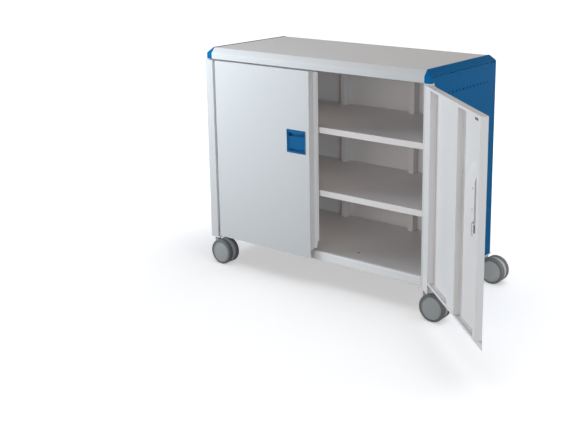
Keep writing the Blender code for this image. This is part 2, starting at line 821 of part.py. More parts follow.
def build_carcass(carrier, paint, blue):
    """The fixed sheet-metal body."""
    add_piece("top_panel", top_panel(), paint, carrier)
    add_piece("base_rail", base_rail(), paint, carrier)
    add_piece("floor_pan", floor_pan(), paint, carrier)
    add_piece("back_panel", back_panel(), paint, carrier)
    add_piece("upper_shelf", shelf(UPPER_SHELF_TOP), paint, carrier)
    add_piece("lower_shelf", shelf(LOWER_SHELF_TOP), paint, carrier)
    for name, side in (("left", -1), ("right", 1)):
        add_piece(f"{name}_end_panel", end_panel(), blue, carrier, side)
        add_piece(f"{name}_side_wall", side_wall(), paint, carrier, side)
        add_piece(f"{name}_front_stile", front_stile(), paint, carrier, side)
        add_piece(f"{name}_back_post", back_post(), paint, carrier, side)
        add_piece(f"{name}_hinge_bracket", hinge_bracket(), paint, carrier, side)
        add_piece(f"front_{name}_corner_plate", front_corner_plate(), paint, carrier, side)
        add_piece(f"rear_{name}_corner_plate", rear_corner_plate(), paint, carrier, side)


def build_left_door(cabinet, paint, blue):
    """The closed door, which carries the astragal."""
    door = Carrier("left_door", (-PIVOT.x, PIVOT.y, 0), cabinet)
    add_piece("left_door_panel", door_panel(), paint, door, -1)
    add_piece("left_hinge_post", hinge_post(), paint, door, -1)
    add_piece("left_door_stiffener", door_stiffener(), paint, door, -1)
    add_piece("left_door_pull", pull(), blue, door, -1)
    add_piece("left_door_astragal", astragal(), paint, door)


def build_right_door(cabinet, paint, blue, steel, dark):
    """The open door, which carries the lock."""
    door = Carrier("right_door", PIVOT, cabinet, OPEN_ANGLE)
    add_piece("right_door_panel", cut(door_panel(), lock_hole()), paint, door)
    add_piece("right_hinge_post", hinge_post(), paint, door)
    add_piece("right_door_stiffener", door_stiffener(), paint, door)
    add_piece("right_door_pull", pull(), blue, door)
    add_piece("right_door_lock_cover", lock_cover(), paint, door)
    lock = Carrier("lock", (LOCK_EDGE, DOOR_FRONT, LOCK_HEIGHT), door)
    for name, shape, finish in (("cylinder", lock_cylinder(), steel), ("cam", lock_cam(), dark)):
        shape.transform(Matrix.Translation((LOCK_EDGE, 0, LOCK_HEIGHT)))
        add_piece(f"lock_{name}", shape, finish, lock)


def build_caster(name, place, cabinet, finishes):
    """One swivel caster with its two wheels trailing towards +X."""
    swivel = Carrier(f"{name}_caster", place, cabinet)
    wheel_place = swivel.point + Vector((CASTER_TRAIL, 0, AXLE_HEIGHT))
    pieces = (
        ("caster_socket", caster_socket(), swivel.point, cabinet, "body"),
        ("caster_body", caster_body(), swivel.point, swivel, "body"),
        ("axle", axle(), wheel_place, swivel, "steel"),
    )
    for piece, shape, point, carrier, finish in pieces:
        shape.transform(Matrix.Translation(point))
        add_piece(f"{name}_{piece}", shape, finishes[finish], carrier, smooth=True)
    for wheel_name, side in (("fore", -1), ("aft", 1)):
        wheel = Carrier(f"{name}_{wheel_name}_wheel", wheel_place, swivel)
        for piece, shape in (("hub", hub(side)), ("tyre", tyre(side))):
            shape.transform(Matrix.Translation(wheel_place))
            label = f"{name}_{wheel_name}_{piece}"
            add_piece(label, shape, finishes[piece], wheel, smooth=True)


def stand_on_origin(cabinet):
    """Move the cabinet so that the middle of its box, at floor level, is the origin."""
    bpy.context.view_layer.update()
    corners = [
        piece.matrix_world @ vertex.co
        for piece in bpy.data.objects
        if piece.type == "MESH"
        for vertex in piece.data.vertices
    ]
    for axis in (0, 1):
        values = [corner[axis] for corner in corners]
        cabinet.empty.location[axis] -= (min(values) + max(values)) / 2
    cabinet.empty.location.z -= min(corner.z for corner in corners)
    bpy.context.view_layer.update()


def build_cabinet():
    """Clear the scene and make every piece."""
    for old in list(bpy.data.objects):
        bpy.data.objects.remove(old)
    paint = make_material("light_grey_paint", (224, 226, 227), 0.45, 0.0)
    blue = make_material("blue_paint", (38, 92, 140), 0.4, 0.0)
    steel = make_material("lock_steel", (150, 150, 152), 0.3, 1.0)
    dark = make_material("dark_steel", (60, 60, 62), 0.4, 1.0)
    finishes = {
        "body": make_material("caster_grey", (170, 172, 172), 0.5, 0.0),
        "hub": make_material("hub_grey", (140, 142, 142), 0.5, 0.0),
        "tyre": make_material("tyre_grey", (85, 87, 87), 0.7, 0.0),
        "steel": steel,
    }
    cabinet = Carrier("cabinet", (0, 0, 0))
    build_carcass(cabinet, paint, blue)
    build_left_door(cabinet, paint, blue)
    build_right_door(cabinet, paint, blue, steel, dark)
    for row, sign_y in (("front", -1), ("rear", 1)):
        for name, sign_x in (("left", -1), ("right", 1)):
            x = sign_x * (HALF_WIDTH - CASTER_INSET_X)
            y = sign_y * (BODY_DEPTH / 2 - CASTER_INSET_Y)
            build_caster(f"{row}_{name}", (x, y, 0), cabinet, finishes)
    stand_on_origin(cabinet)


build_cabinet()
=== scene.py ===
"""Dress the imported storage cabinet: detailed pieces, procedural finishes and a studio stage.

Metres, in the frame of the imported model. Pieces are modelled with both doors closed; those of the
right door then swing out to where the frame holds it at rest.
"""

import json
import math
from contextlib import contextmanager

import bmesh
import bpy
from bpy.props import FloatProperty, FloatVectorProperty, IntProperty, PointerProperty
from mathutils import Euler, Matrix, Vector

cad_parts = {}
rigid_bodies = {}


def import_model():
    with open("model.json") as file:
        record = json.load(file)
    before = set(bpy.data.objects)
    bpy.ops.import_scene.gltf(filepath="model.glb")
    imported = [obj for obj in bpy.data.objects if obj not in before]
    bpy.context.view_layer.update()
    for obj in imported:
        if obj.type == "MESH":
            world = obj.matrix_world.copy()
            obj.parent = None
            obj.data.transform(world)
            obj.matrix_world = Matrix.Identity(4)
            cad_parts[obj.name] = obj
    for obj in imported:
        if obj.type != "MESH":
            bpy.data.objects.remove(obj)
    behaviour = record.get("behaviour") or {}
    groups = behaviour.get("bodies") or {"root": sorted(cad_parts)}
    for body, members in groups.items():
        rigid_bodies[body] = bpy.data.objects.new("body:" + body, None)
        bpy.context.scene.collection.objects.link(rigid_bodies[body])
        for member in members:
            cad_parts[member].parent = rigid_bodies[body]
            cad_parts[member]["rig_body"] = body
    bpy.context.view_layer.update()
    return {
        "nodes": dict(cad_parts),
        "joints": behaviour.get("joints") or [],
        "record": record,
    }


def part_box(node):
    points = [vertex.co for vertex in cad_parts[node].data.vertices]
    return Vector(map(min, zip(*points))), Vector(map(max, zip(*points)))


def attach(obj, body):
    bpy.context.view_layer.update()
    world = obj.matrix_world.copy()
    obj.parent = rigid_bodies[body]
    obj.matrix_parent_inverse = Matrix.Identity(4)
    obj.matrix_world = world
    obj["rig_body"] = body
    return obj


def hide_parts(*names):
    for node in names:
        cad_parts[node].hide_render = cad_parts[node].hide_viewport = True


bl_info = {
    "name": "Mobile storage cabinet",
    "version": (1, 0, 0),
    "blender": (4, 5, 0),
    "location": "3D View > Sidebar > Cabinet",
    "description": "Dresses the packed storage cabinet and sets its studio stage",
    "category": "Object",
}

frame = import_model()
SLOTS = {part["node"]: part["material_slot"] for part in frame["record"]["subparts"]}
JOINTS = {joint["name"]: joint for joint in frame["joints"]}
MIDDLE = sum(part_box("top_panel"), Vector()).x / 2
MIRROR = Matrix.Translation((2 * MIDDLE, 0, 0)) @ Matrix.Scale(-1, 4, Vector((1, 0, 0)))
PIVOT = Vector(JOINTS["right_door_hinge"]["pos_m"])
SWING_ANGLE = -math.radians(JOINTS["right_door_hinge"]["range_deg"][0])
SWING = Matrix.Translation(PIVOT) @ Matrix.Rotation(SWING_ANGLE, 4, "Z") @ Matrix.Translation(-PIVOT)
CASTERS = ("front_left", "front_right", "rear_left", "rear_right")

# How far a cutter reaches past what it cuts, and the play round a piece in its hole
MARGIN = Vector((0.01, 0.01, 0.01))
ROOM = 0.0003
# How deep a joined part sits in its neighbour, and the rounding of small parts
OVERLAP = 0.001
FINE_EDGE = 0.0004
# Sides of the round caster parts
WHEEL_STEPS = 96
# A hub's groove and raised ring: rim beads in from its edge, and metres behind the dished edge
HUB_RING = (
    (2.4, -0.0006),
    (2.1, 0.0003),
    (1.8, -0.0005),
    (1.0, -0.0002),
    (0.75, -0.0014),
    (0.35, -0.0014),
    (0.0, -0.0002),
)
# Specular level of the paints and plastics
GLOSS = {
    "light_grey_paint": 0.28,
    "blue_paint": 0.015,
    "blue_plastic": 0.1,
    "caster_plastic": 0.35,
    "hub_plastic": 0.35,
}
# Sockets of the colour Mix node
MIX_FIRST = 6
MIX_SECOND = 7
MIX_RESULT = 2


def screen(red, green, blue):
    """Turn 8-bit screen colour into the linear colour that a shader takes."""
    values = [value / 255 for value in (red, green, blue)]
    return [v / 12.92 if v <= 0.04045 else ((v + 0.055) / 1.055) ** 2.4 for v in values]


def colour(label, text, default):
    """A colour that the user can change."""
    return FloatVectorProperty(
        name=label, description=text, subtype="COLOR", size=3, min=0, max=1, default=screen(*default)
    )


def length(label, text, default):
    """A length that the user can change."""
    return FloatProperty(
        name=label, description=text, subtype="DISTANCE", unit="LENGTH", precision=4, default=default
    )


def level(label, text, default):
    """A plain number from zero up that the user can change."""
    return FloatProperty(name=label, description=text, min=0, default=default)


class CabinetFinish(bpy.types.PropertyGroup):
    """Colours of the cabinet's finishes."""

    grey_paint: colour("Grey paint", "Powder coat of the carcass and doors", (229, 226, 226))
    blue_paint: colour("Blue paint", "Powder coat of the end panels", (14, 103, 160))
    blue_plastic: colour("Blue plastic", "Moulded pulls", (20, 92, 142))
    lock_steel: colour("Plated steel", "Lock cylinder and nut, axles and screws", (180, 180, 182))
    dark_steel: colour("Dull steel", "Lock cam", (196, 197, 199))
    caster_plastic: colour("Caster plastic", "Caster bodies and sockets", (170, 172, 172))
    hub_plastic: colour("Hub plastic", "Wheel hubs", (152, 154, 154))
    # Near-black colour of the sheets behind the vents: painted shade that makes the vent holes read dark
    vent_dark: colour("Vent screen", "Screens behind the vents", (16, 18, 20))
    tyre_rubber: colour("Tyre rubber", "Wheel treads, floor plug and door magnet", (102, 104, 104))
    paint_roughness: level("Paint roughness", "Roughness of the powder coats", 0.42)
    grain_size: length("Paint grain", "Size of the fine texture of the powder coats", 0.0012)


class CabinetSizes(bpy.types.PropertyGroup):
    """Sizes of the sheet-metal work."""

    sheet: length("Carcass sheet", "Thickness of the carcass sheets", 0.0015)
    door_sheet: length("Door sheet", "Thickness of the door sheets", 0.0012)
    bend: length("Bend radius", "Outer radius of the folds", 0.0022)
    chamfer_run: length("Chamfer run", "Depth of the bevel along the top's edges", 0.0173)
    chamfer_drop: length("Chamfer drop", "Height of the bevel along the top's edges", 0.0215)
    shelf_drop: length("Shelf drop", "Front edge of a shelf below its flanges", 0.003)
    shelf_return: length("Shelf return", "Return under a shelf's front flange", 0.012)
    hinge_pin: length("Hinge pin", "Radius of a hinge pin", 0.004)
    hinge_tab: length("Hinge tab", "Thickness of the tab that holds the upper hinge pin", 0.003)
    rail_head: length("Rail head", "Depth of the base rail's upper flange", 0.0117)
    bevel_seam: length("Bevel seam", "Width of the open seam under an end panel's bevel", 0.002)
    top_drop: length("Top drop", "Top sheet below the end panels' upper edges", 0.0015)
    end_flat: length("End flat", "Level strip along an end panel's upper edge", 0.005)
    end_wall: length("End wall", "Wall of the hollow end panels", 0.002)
    end_round: length("End rounding", "Radius of an end panel's upright rear edge", 0.008)
    plug_side: length("Plug place", "Floor plug from the cabinet's middle", 0.1438)
    plug_back: length("Plug depth", "Floor plug behind the floor's front edge", 0.063)
    plug_radius: length("Plug radius", "Radius of the floor plug", 0.0042)
    vent_width: length("Vent width", "Width of a vent", 0.007)
    vent_height: length("Vent height", "Height of a vent", 0.009)
    vent_pitch: length("Vent pitch", "Spacing of the vents", 0.024)
    vent_drop: length("Vent drop", "Vents below the top", 0.090)
    vent_count: IntProperty(name="Vents", description="Vents in an end panel", min=1, default=14)


class DoorSizes(bpy.types.PropertyGroup):
    """Sizes of the doors, pulls and lock."""

    free_lip: length("Free lip", "Lip along a door's free edge", 0.018)
    end_lip: length("End lip", "Lip along a door's head and sill", 0.009)
    skirt: length("Skirt", "Height of the bare skin below a door's sill", 0.030)
    hinge_lip: length("Hinge lip", "Lip along a door's hinge side", 0.003)
    fold: length("Door fold", "Outer radius of the door's folds", 0.0018)
    seam: length("Corner seam", "Open seam where a door's edge meets its head and sill", 0.0016)
    post_width: length("Post width", "Width of a hinge post", 0.040)
    post_corner: length("Post corner", "Radius of a hinge post's outer corner", 0.0065)
    stiffener_flange: length("Stiffener flange", "Flanges of a door's hat section", 0.012)
    bead_width: length("Bead width", "Width of the astragal's bead", 0.0055)
    bead_rise: length("Bead rise", "Bead above the astragal's lower end", 0.030)
    pull_flange: length("Pull flange", "Thickness of a pull's flange", 0.0016)
    pull_rim: length("Pull rim", "Width of a pull's rim", 0.0035)
    pull_lead: length("Pull lead", "Rounding where a pull's rim turns inwards", 0.0015)
    pull_cup: length("Pull cup", "Set-in of a pull's cup behind its flange", 0.002)
    pull_draft: length("Pull draft", "Set-in of a pull's floor", 0.003)
    pull_hollow: length("Pull hollow", "Rounding at the sides and foot of a pull's floor", 0.006)
    pull_shallow: length("Pull shallow", "Depth of a pull's floor", 0.009)
    pull_tilt: length("Pull tilt", "Rise of a pull's floor on its hinge side", 0.005)
    pull_deep: length("Pull deep", "Depth of a pull's pockets above and below its floor", 0.0145)
    pull_pocket: length("Pull pocket", "Height of the finger pocket, from the pull's upper edge", 0.025)
    pull_foot: length("Pull foot", "Height of the lower pocket, from the pull's lower edge", 0.013)
    hood_height: length("Hood height", "Height of the finger hood at its ends", 0.0055)
    hood_thickness: length("Hood thickness", "Thickness of the finger hood", 0.002)
    hood_sag: length("Hood sag", "Curve of the finger hood's lower edge", 0.006)
    lock_radius: length("Lock radius", "Radius of the lock barrel", 0.007)
    lock_nut: length("Lock nut", "Radius of the nut that holds the lock", 0.0105)
    cover_rebate: length("Cover rebate", "Width of the step along the lock cover's free side", 0.0165)
    cover_step: length("Cover step", "Depth of the step along the lock cover's free side", 0.0072)
    cover_slope: length("Cover slope", "Where the lock cover starts to fall, from its upper end", 0.045)
    cover_end: length("Cover end", "Thickness of the lock cover at its upper end", 0.0015)
    magnet_low: length("Magnet height", "Lower edge of the door magnet, from the head", 0.018)
    cover_screw: length("Screw radius", "Radius of a cover screw's head", 0.0032)
    cover_screw_inset: length("Screw inset", "Cover screws from the door's free edge", 0.050)
    cover_screw_low: length("Lower cover screw", "Height of the lock cover's lower screw", 0.531)
    cover_screw_high: length("Upper cover screw", "Height of the lock cover's upper screw", 0.593)


class CasterSizes(bpy.types.PropertyGroup):
    """Sizes of the twin-wheel casters."""

    hub_radius: length("Hub radius", "Radius of a wheel's hub", 0.040)
    dish: length("Hub dish", "Fall of a hub's face towards its edge", 0.002)
    rim_bead: length("Rim bead", "Width of the raised ring round a hub", 0.0028)
    tyre_round: length("Tyre rounding", "Radius of a tyre's shoulders", 0.005)
    core_radius: length("Core radius", "Radius of the caster body between the wheels", 0.0475)
    core_width: length("Core width", "Width of the caster body between the wheels", 0.016)
    core_round: length("Core rounding", "Radius of the caster body's edges", 0.0025)
    stem_radius: length("Stem radius", "Radius of a caster's stem", 0.005)


class StudioSettings(bpy.types.PropertyGroup):
    """Camera, lights and floor."""

    camera_place: FloatVectorProperty(
        name="Camera place",
        description="Where the camera stands",
        subtype="XYZ",
        unit="LENGTH",
        default=(1.90148, -2.68317, 1.34333),
    )
    camera_turn: FloatVectorProperty(
        name="Camera turn",
        description="The camera's rotation",
        subtype="EULER",
        unit="ROTATION",
        default=(math.radians(76.775), 0, math.radians(35.497)),
    )
    focal_pixels: level("Focal length", "Focal length in pixels of the picture", 957.64)
    picture_width: level("Picture width", "Width of the picture in pixels", 578)
    picture_height: level("Picture height", "Height of the picture in pixels", 429)
    axis_x: level("Optical axis x", "Where the optical axis meets the picture, from the left", 360.74)
    axis_y: level("Optical axis y", "Where the optical axis meets the picture, from the top", 141.53)
    sky: level("Sky", "Strength of the even light all round", 0.15)
    left_power: level("Left light", "Power of the large light on the left, in watts", 50)
    key_power: level("Key light", "Power of the light left in front of the door, in watts", 12)
    front_power: level("Front light", "Power of the light in front, in watts", 23)
    bay_power: level("Bay light", "Power of the small light in each bay, in watts", 0.07)
    wheel_power: level("Wheel light", "Power of the low light on the rear right caster, in watts", 7.5)
    back_power: level("Back light", "Power of the light behind the cabinet, in watts", 40)
    camera_power: level("Camera light", "Power of the light right of the camera, in watts", 44)
    side_power: level("Side light", "Power of the light on the right, in watts", 24)
    edge_power: level("Edge light", "Power of the low light on the shelf edges, in watts", 9)
    over_power: level("Overhead light", "Power of the light overhead, in watts", 9)
    floor_power: level("Floor light", "Power of the overhead light on the floor alone, in watts", 58)
    floor_glow: level("Floor glow", "Brightness that only the picture of the floor gains", 0.49)
    floor_colour: colour("Floor", "Colour of the floor", (241, 245, 250))
    floor_bounce: colour("Floor bounce", "Colour that the floor throws back at the cabinet", (150, 150, 151))
    cool_tint: colour("Cool tint", "Colour of the left, key and camera lights", (232, 247, 255))
    warm_tint: colour("Warm tint", "Colour of the sky and the bay lights", (255, 240, 227))
    white_from: length("White from", "Where the floor starts to turn white, from its middle", 0.6)
    white_to: length("White to", "Where the floor is all white, from its middle", 1.9)


def body_of(node):
    """The moving body that a node of the frame belongs to."""
    return frame["nodes"][node]["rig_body"]


def closed(node):
    """Box of a left-hand node, mirrored to the right."""
    low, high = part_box(node)
    return Vector((2 * MIDDLE - high.x, low.y, low.z)), Vector((2 * MIDDLE - low.x, high.y, high.z))


def closed_right(node):
    """Box of a node of the right door, with the door swung shut."""
    mesh = frame["nodes"][node].data
    points = [SWING.inverted() @ vertex.co for vertex in mesh.vertices]
    low = Vector([min(point[axis] for point in points) for axis in range(3)])
    high = Vector([max(point[axis] for point in points) for axis in range(3)])
    return low, high


COVER_BOX = closed_right("right_door_lock_cover")
LOCK_AXIS = SWING.inverted() @ Vector(JOINTS["lock_turn"]["pos_m"])


# Material building blocks


def add_node(tree, kind, inputs=None, **settings):
    """Add a shader node with its settings and input values."""
    made = tree.nodes.new(kind)
    for key, value in settings.items():
        setattr(made, key, value)
    for key, value in (inputs or {}).items():
        made.inputs[key].default_value = value
    return made


def noise(tree, size, detail):
    """Noise in object space with grains of one size."""
    place = add_node(tree, "ShaderNodeTexCoord")
    made = add_node(tree, "ShaderNodeTexNoise", {"Scale": 1 / size, "Detail": detail})
    tree.links.new(place.outputs["Object"], made.inputs["Vector"])
    return made.outputs["Fac"]


def blend_colours(tree, share, first, second, target):
    """Feed a socket with a mix of two colours, by a share from 0 to 1."""
    mix = add_node(tree, "ShaderNodeMix", data_type="RGBA")
    mix.inputs[MIX_FIRST].default_value = (*first, 1)
    mix.inputs[MIX_SECOND].default_value = (*second, 1)
    tree.links.new(share, mix.inputs[0])
    tree.links.new(mix.outputs[MIX_RESULT], target)


def drift_colour(tree, shader, base, amount, size):
    """Let the base colour wander a little."""
    darker = [value * (1 - amount) for value in base]
    lighter = [min(1, value * (1 + amount)) for value in base]
    blend_colours(tree, noise(tree, size, detail=3), darker, lighter, shader.inputs["Base Color"])


def drift_roughness(tree, shader, mean, amount, size):
    """Let the roughness wander a little."""
    values = {"To Min": mean - amount, "To Max": mean + amount}
    reach = add_node(tree, "ShaderNodeMapRange", values)
    tree.links.new(noise(tree, size, detail=2), reach.inputs["Value"])
    tree.links.new(reach.outputs["Result"], shader.inputs["Roughness"])


def grain(tree, shader, size, depth, strength):
    """Raise a fine grain on the surface."""
    bump = add_node(tree, "ShaderNodeBump", {"Strength": strength, "Distance": depth})
    tree.links.new(noise(tree, size, detail=2), bump.inputs["Height"])
    tree.links.new(bump.outputs["Normal"], shader.inputs["Normal"])


def new_finish(name, metallic=0.0, specular=0.5):
    """Start a finish on a Principled shader."""
    material = bpy.data.materials.new(name)
    material.use_nodes = True
    shader = material.node_tree.nodes["Principled BSDF"]
    shader.inputs["Metallic"].default_value = metallic
    shader.inputs["Specular IOR Level"].default_value = specular
    return material, material.node_tree, shader


def powder_coat(name, base, gloss):
    """Fine-textured powder coat."""
    finish = bpy.context.scene.cabinet_finish
    material, tree, shader = new_finish(name, specular=gloss)
    drift_colour(tree, shader, base, amount=0.02, size=0.35)
    drift_roughness(tree, shader, finish.paint_roughness, amount=0.05, size=0.05)
    grain(tree, shader, finish.grain_size, depth=0.0001, strength=0.12)
    return material


def moulded_plastic(name, base, gloss):
    """Moulded plastic with a light spark texture."""
    material, tree, shader = new_finish(name, specular=gloss)
    drift_colour(tree, shader, base, amount=0.04, size=0.02)
    drift_roughness(tree, shader, mean=0.45, amount=0.06, size=0.01)
    grain(tree, shader, size=0.0006, depth=0.0001, strength=0.15)
    return material


def tread_rubber(name, base):
    """Matt rubber, a little scuffed."""
    material, tree, shader = new_finish(name, specular=0.3)
    drift_colour(tree, shader, base, amount=0.1, size=0.012)
    drift_roughness(tree, shader, mean=0.68, amount=0.1, size=0.006)
    grain(tree, shader, size=0.0009, depth=0.0002, strength=0.2)
    return material


def bare_steel(name, base):
    """Plated or dull steel with a fine grain."""
    material, tree, shader = new_finish(name, metallic=1.0)
    drift_colour(tree, shader, base, amount=0.06, size=0.004)
    drift_roughness(tree, shader, mean=0.32, amount=0.08, size=0.002)
    grain(tree, shader, size=0.0004, depth=0.00005, strength=0.1)
    return material


def finish_for(slot):
    """The finish of one of the record's material slots, made when it is first asked for."""
    name = f"{slot}_finish"
    if name in bpy.data.materials:
        return bpy.data.materials[name]
    base = getattr(bpy.context.scene.cabinet_finish, slot.replace("light_", ""))
    if slot.endswith("paint"):
        return powder_coat(name, base, GLOSS[slot])
    if slot.endswith("steel"):
        return bare_steel(name, base)
    if slot.endswith("rubber"):
        return tread_rubber(name, base)
    return moulded_plastic(name, base, GLOSS[slot])


# Modelling tools


def only(piece):
    """Select one piece alone and make it active."""
    bpy.ops.object.select_all(action="DESELECT")
    piece.select_set(True)
    bpy.context.view_layer.objects.active = piece


@contextmanager
def editing(piece):
    """Edit mode on one piece, with nothing in it selected."""
    only(piece)
    bpy.ops.object.mode_set(mode="EDIT")
    bpy.ops.mesh.select_all(action="DESELECT")
    yield
    bpy.ops.object.mode_set(mode="OBJECT")


def pick(piece, kind, test):
    """In edit mode, select only the verts, edges or faces that pass a test."""
    bpy.ops.mesh.select_mode(type={"verts": "VERT", "edges": "EDGE", "faces": "FACE"}[kind])
    bpy.ops.mesh.select_all(action="DESELECT")
    shape = bmesh.from_edit_mesh(piece.data)
    for item in getattr(shape, kind):
        if test(item):
            item.select_set(True)
    bmesh.update_edit_mesh(piece.data)


def middle(edge):
    """The middle of an edge."""
    return (edge.verts[0].co + edge.verts[1].co) / 2


def along(edge, axis):
    """Whether an edge runs along the x, y or z axis."""
    step = (edge.verts[1].co - edge.verts[0].co).normalized()
    return abs(getattr(step, axis)) > 0.99


def near(value, target):
    """Whether two lengths agree to a hundredth of a millimetre."""
    return abs(value - target) < 1e-5


def bent(edge, least=0.3):
    """Whether two faces meet at an edge by at least an angle, in radians."""
    return len(edge.link_faces) == 2 and edge.calc_face_angle() > least


def runs(axis, **places):
    """A test for edges that run along one axis at given places on the others."""

    def test(edge):
        centre = middle(edge)
        at_places = all(near(getattr(centre, key), value) for key, value in places.items())
        return at_places and along(edge, axis)

    return test


def facing(*way):
    """A test for faces that look one way."""
    return lambda face: face.normal.dot(Vector(way)) > 0.9


def bevel(piece, test, offset, segments):
    """In edit mode, bevel the edges that pass a test."""
    pick(piece, "edges", test)
    bpy.ops.mesh.bevel(offset=offset, segments=segments, affect="EDGES")


def shave(point, normal):
    """In edit mode, cut away all that lies past a plane."""
    bpy.ops.mesh.select_all(action="SELECT")
    bpy.ops.mesh.bisect(plane_co=point, plane_no=normal, use_fill=True, clear_outer=True)


def push(step):
    """In edit mode, extrude the selected faces along Y."""
    bpy.ops.mesh.extrude_region_move(TRANSFORM_OT_translate={"value": (0, step, 0)})


def settle(piece):
    """Put a piece's place, turn and scale into its mesh."""
    only(piece)
    bpy.ops.object.transform_apply(location=True, rotation=True, scale=True)
    return piece


def block(low, high):
    """Start from a cube at its size and place."""
    low, high = Vector(low), Vector(high)
    bpy.ops.mesh.primitive_cube_add(size=1, location=(low + high) / 2)
    piece = bpy.context.object
    piece.scale = high - low
    return settle(piece)


def barrel(centre, radius, depth, sides, axis="Y"):
    """Start from a cylinder at its size and place, along Y or Z."""
    turn = (math.pi / 2, 0, 0) if axis == "Y" else (0, 0, 0)
    bpy.ops.mesh.primitive_cylinder_add(
        vertices=sides, radius=radius, depth=depth, location=centre, rotation=turn
    )
    return settle(bpy.context.object)


def apply(piece, kind, **settings):
    """Add a modifier with its settings and apply it."""
    modifier = piece.modifiers.new(kind.title(), kind)
    for key, value in settings.items():
        setattr(modifier, key, value)
    only(piece)
    bpy.ops.object.modifier_apply(modifier=modifier.name)


def thicken(piece, thickness):
    """Give a sheet its thickness, away from the side that its faces look to."""
    apply(piece, "SOLIDIFY", thickness=thickness, offset=-1, use_even_offset=True)


def ease(piece, width, segments=2, angle=40):
    """Round every sharp edge a little."""
    limit = math.radians(angle)
    apply(piece, "BEVEL", width=width, segments=segments, limit_method="ANGLE", angle_limit=limit)


def discard(piece):
    """Remove a helper and its mesh."""
    mesh = piece.data
    bpy.data.objects.remove(piece)
    bpy.data.meshes.remove(mesh)


def combine(piece, tool, operation):
    """Unite a piece with a helper, or keep what they share, or cut the helper out."""
    apply(piece, "BOOLEAN", operation=operation, solver="EXACT", object=tool)
    discard(tool)


def cut(piece, cutter):
    """Cut a helper out of a piece."""
    combine(piece, cutter, "DIFFERENCE")


def join(pieces):
    """Join pieces into the first of them."""
    only(pieces[0])
    for piece in pieces[1:]:
        piece.select_set(True)
    bpy.ops.object.join()
    return pieces[0]


def twin(piece, matrix):
    """A copy with its own mesh, moved, turned or mirrored."""
    copy = piece.copy()
    copy.data = piece.data.copy()
    bpy.context.scene.collection.objects.link(copy)
    copy.data.transform(matrix)
    if matrix.is_negative:
        copy.data.flip_normals()
    return copy


def fold(path, axis, span, thickness, bend):
    """Fold a sheet from a path seen along X (y, z) or Z (x, y); its thickness lies right of the path."""

    def place(point, third):
        return Vector((third, *point)) if axis == "X" else Vector((*point, third))

    points = [Vector(point) for point in path]
    leg = place(points[1] - points[0], 0)
    length_way = place((0, 0), span[1] - span[0])
    normal = length_way.cross(leg).normalized()
    centre = place((points[0] + points[1]) / 2, sum(span) / 2)
    bpy.ops.mesh.primitive_plane_add(size=1)
    piece = bpy.context.object
    piece.matrix_world = Matrix((
        (*length_way, 0), (*leg, 0), (*normal, 0), (*centre, 1)
    )).transposed()
    settle(piece)
    edge_middle = place(points[1], sum(span) / 2)
    with editing(piece):
        pick(piece, "edges", lambda edge: (middle(edge) - edge_middle).length < 1e-5)
        for start, end in zip(points[1:], points[2:]):
            step = place(end - start, 0)
            bpy.ops.mesh.extrude_edges_move(TRANSFORM_OT_translate={"value": step})
        bevel(piece, lambda edge: len(edge.link_faces) == 2, bend, segments=4)
    thicken(piece, thickness)
    return piece


def turned(profile, centre, steps):
    """Turn a (radius, y) profile about the Y axis through a centre."""
    points = [Vector((radius, y, 0)) for radius, y in profile]
    bpy.ops.mesh.primitive_plane_add(size=0.01, location=centre)
    piece = settle(bpy.context.object)
    with editing(piece):
        bpy.ops.mesh.select_mode(type="VERT")
        bpy.ops.mesh.select_all(action="SELECT")
        bpy.ops.mesh.merge(type="CENTER")
        bpy.ops.transform.translate(value=points[0])
        for start, end in zip(points, points[1:]):
            bpy.ops.mesh.extrude_vertices_move(TRANSFORM_OT_translate={"value": end - start})
        bpy.ops.mesh.select_all(action="SELECT")
        bpy.ops.mesh.spin(steps=steps, angle=math.tau, center=centre, axis=(0, 1, 0))
        bpy.ops.mesh.select_all(action="SELECT")
        bpy.ops.mesh.remove_doubles(threshold=1e-6)
        bpy.ops.mesh.normals_make_consistent(inside=False)
    return piece


def arc(centre, radius, start, end, steps):
    """Points on an arc between two angles in degrees."""
    angles = [math.radians(start + (end - start) * step / steps) for step in range(steps + 1)]
    return [
        (centre[0] + radius * math.cos(angle), centre[1] + radius * math.sin(angle)) for angle in angles
    ]


def smooth(piece):
    """Shade the round parts smooth, keep the sharp edges and let flat faces look flat."""
    only(piece)
    bpy.ops.object.shade_smooth_by_angle(angle=math.radians(35))
    apply(piece, "WEIGHTED_NORMAL", keep_sharp=True)


def add_detail(piece, name, slot, body):
    """Name a finished piece, give it its finish and let it ride on its body."""
    piece.name = name
    piece.data.name = name
    piece.data.materials.clear()
    piece.data.materials.append(finish_for(slot))
    smooth(piece)
    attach(piece, body)
    return piece


def stand_for(piece, node, suffix):
    """Finish a piece that stands for a node of the frame."""
    add_detail(piece, f"{node}_{suffix}", SLOTS[node], body_of(node))
    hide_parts(node)
    return piece


def repaint(node):
    """Give a node that keeps its shape the finish of its slot."""
    mesh = frame["nodes"][node].data
    mesh.materials.clear()
    mesh.materials.append(finish_for(SLOTS[node]))


# Carcass


def top_sheet(sizes):
    """Folded top with chamfers, lips and a return under the front lip."""
    low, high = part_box("top_panel")
    frame_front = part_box("right_front_stile")[0].y
    ridge = high.z - sizes.chamfer_drop
    face = high.z - sizes.top_drop
    path = [
        (frame_front, low.z),
        (low.y, low.z),
        (low.y, ridge),
        (low.y + sizes.chamfer_run, face),
        (high.y - sizes.chamfer_run, face),
        (high.y, ridge),
        (high.y, low.z),
    ]
    return fold(path, "X", (low.x, high.x), sizes.sheet, sizes.bend)


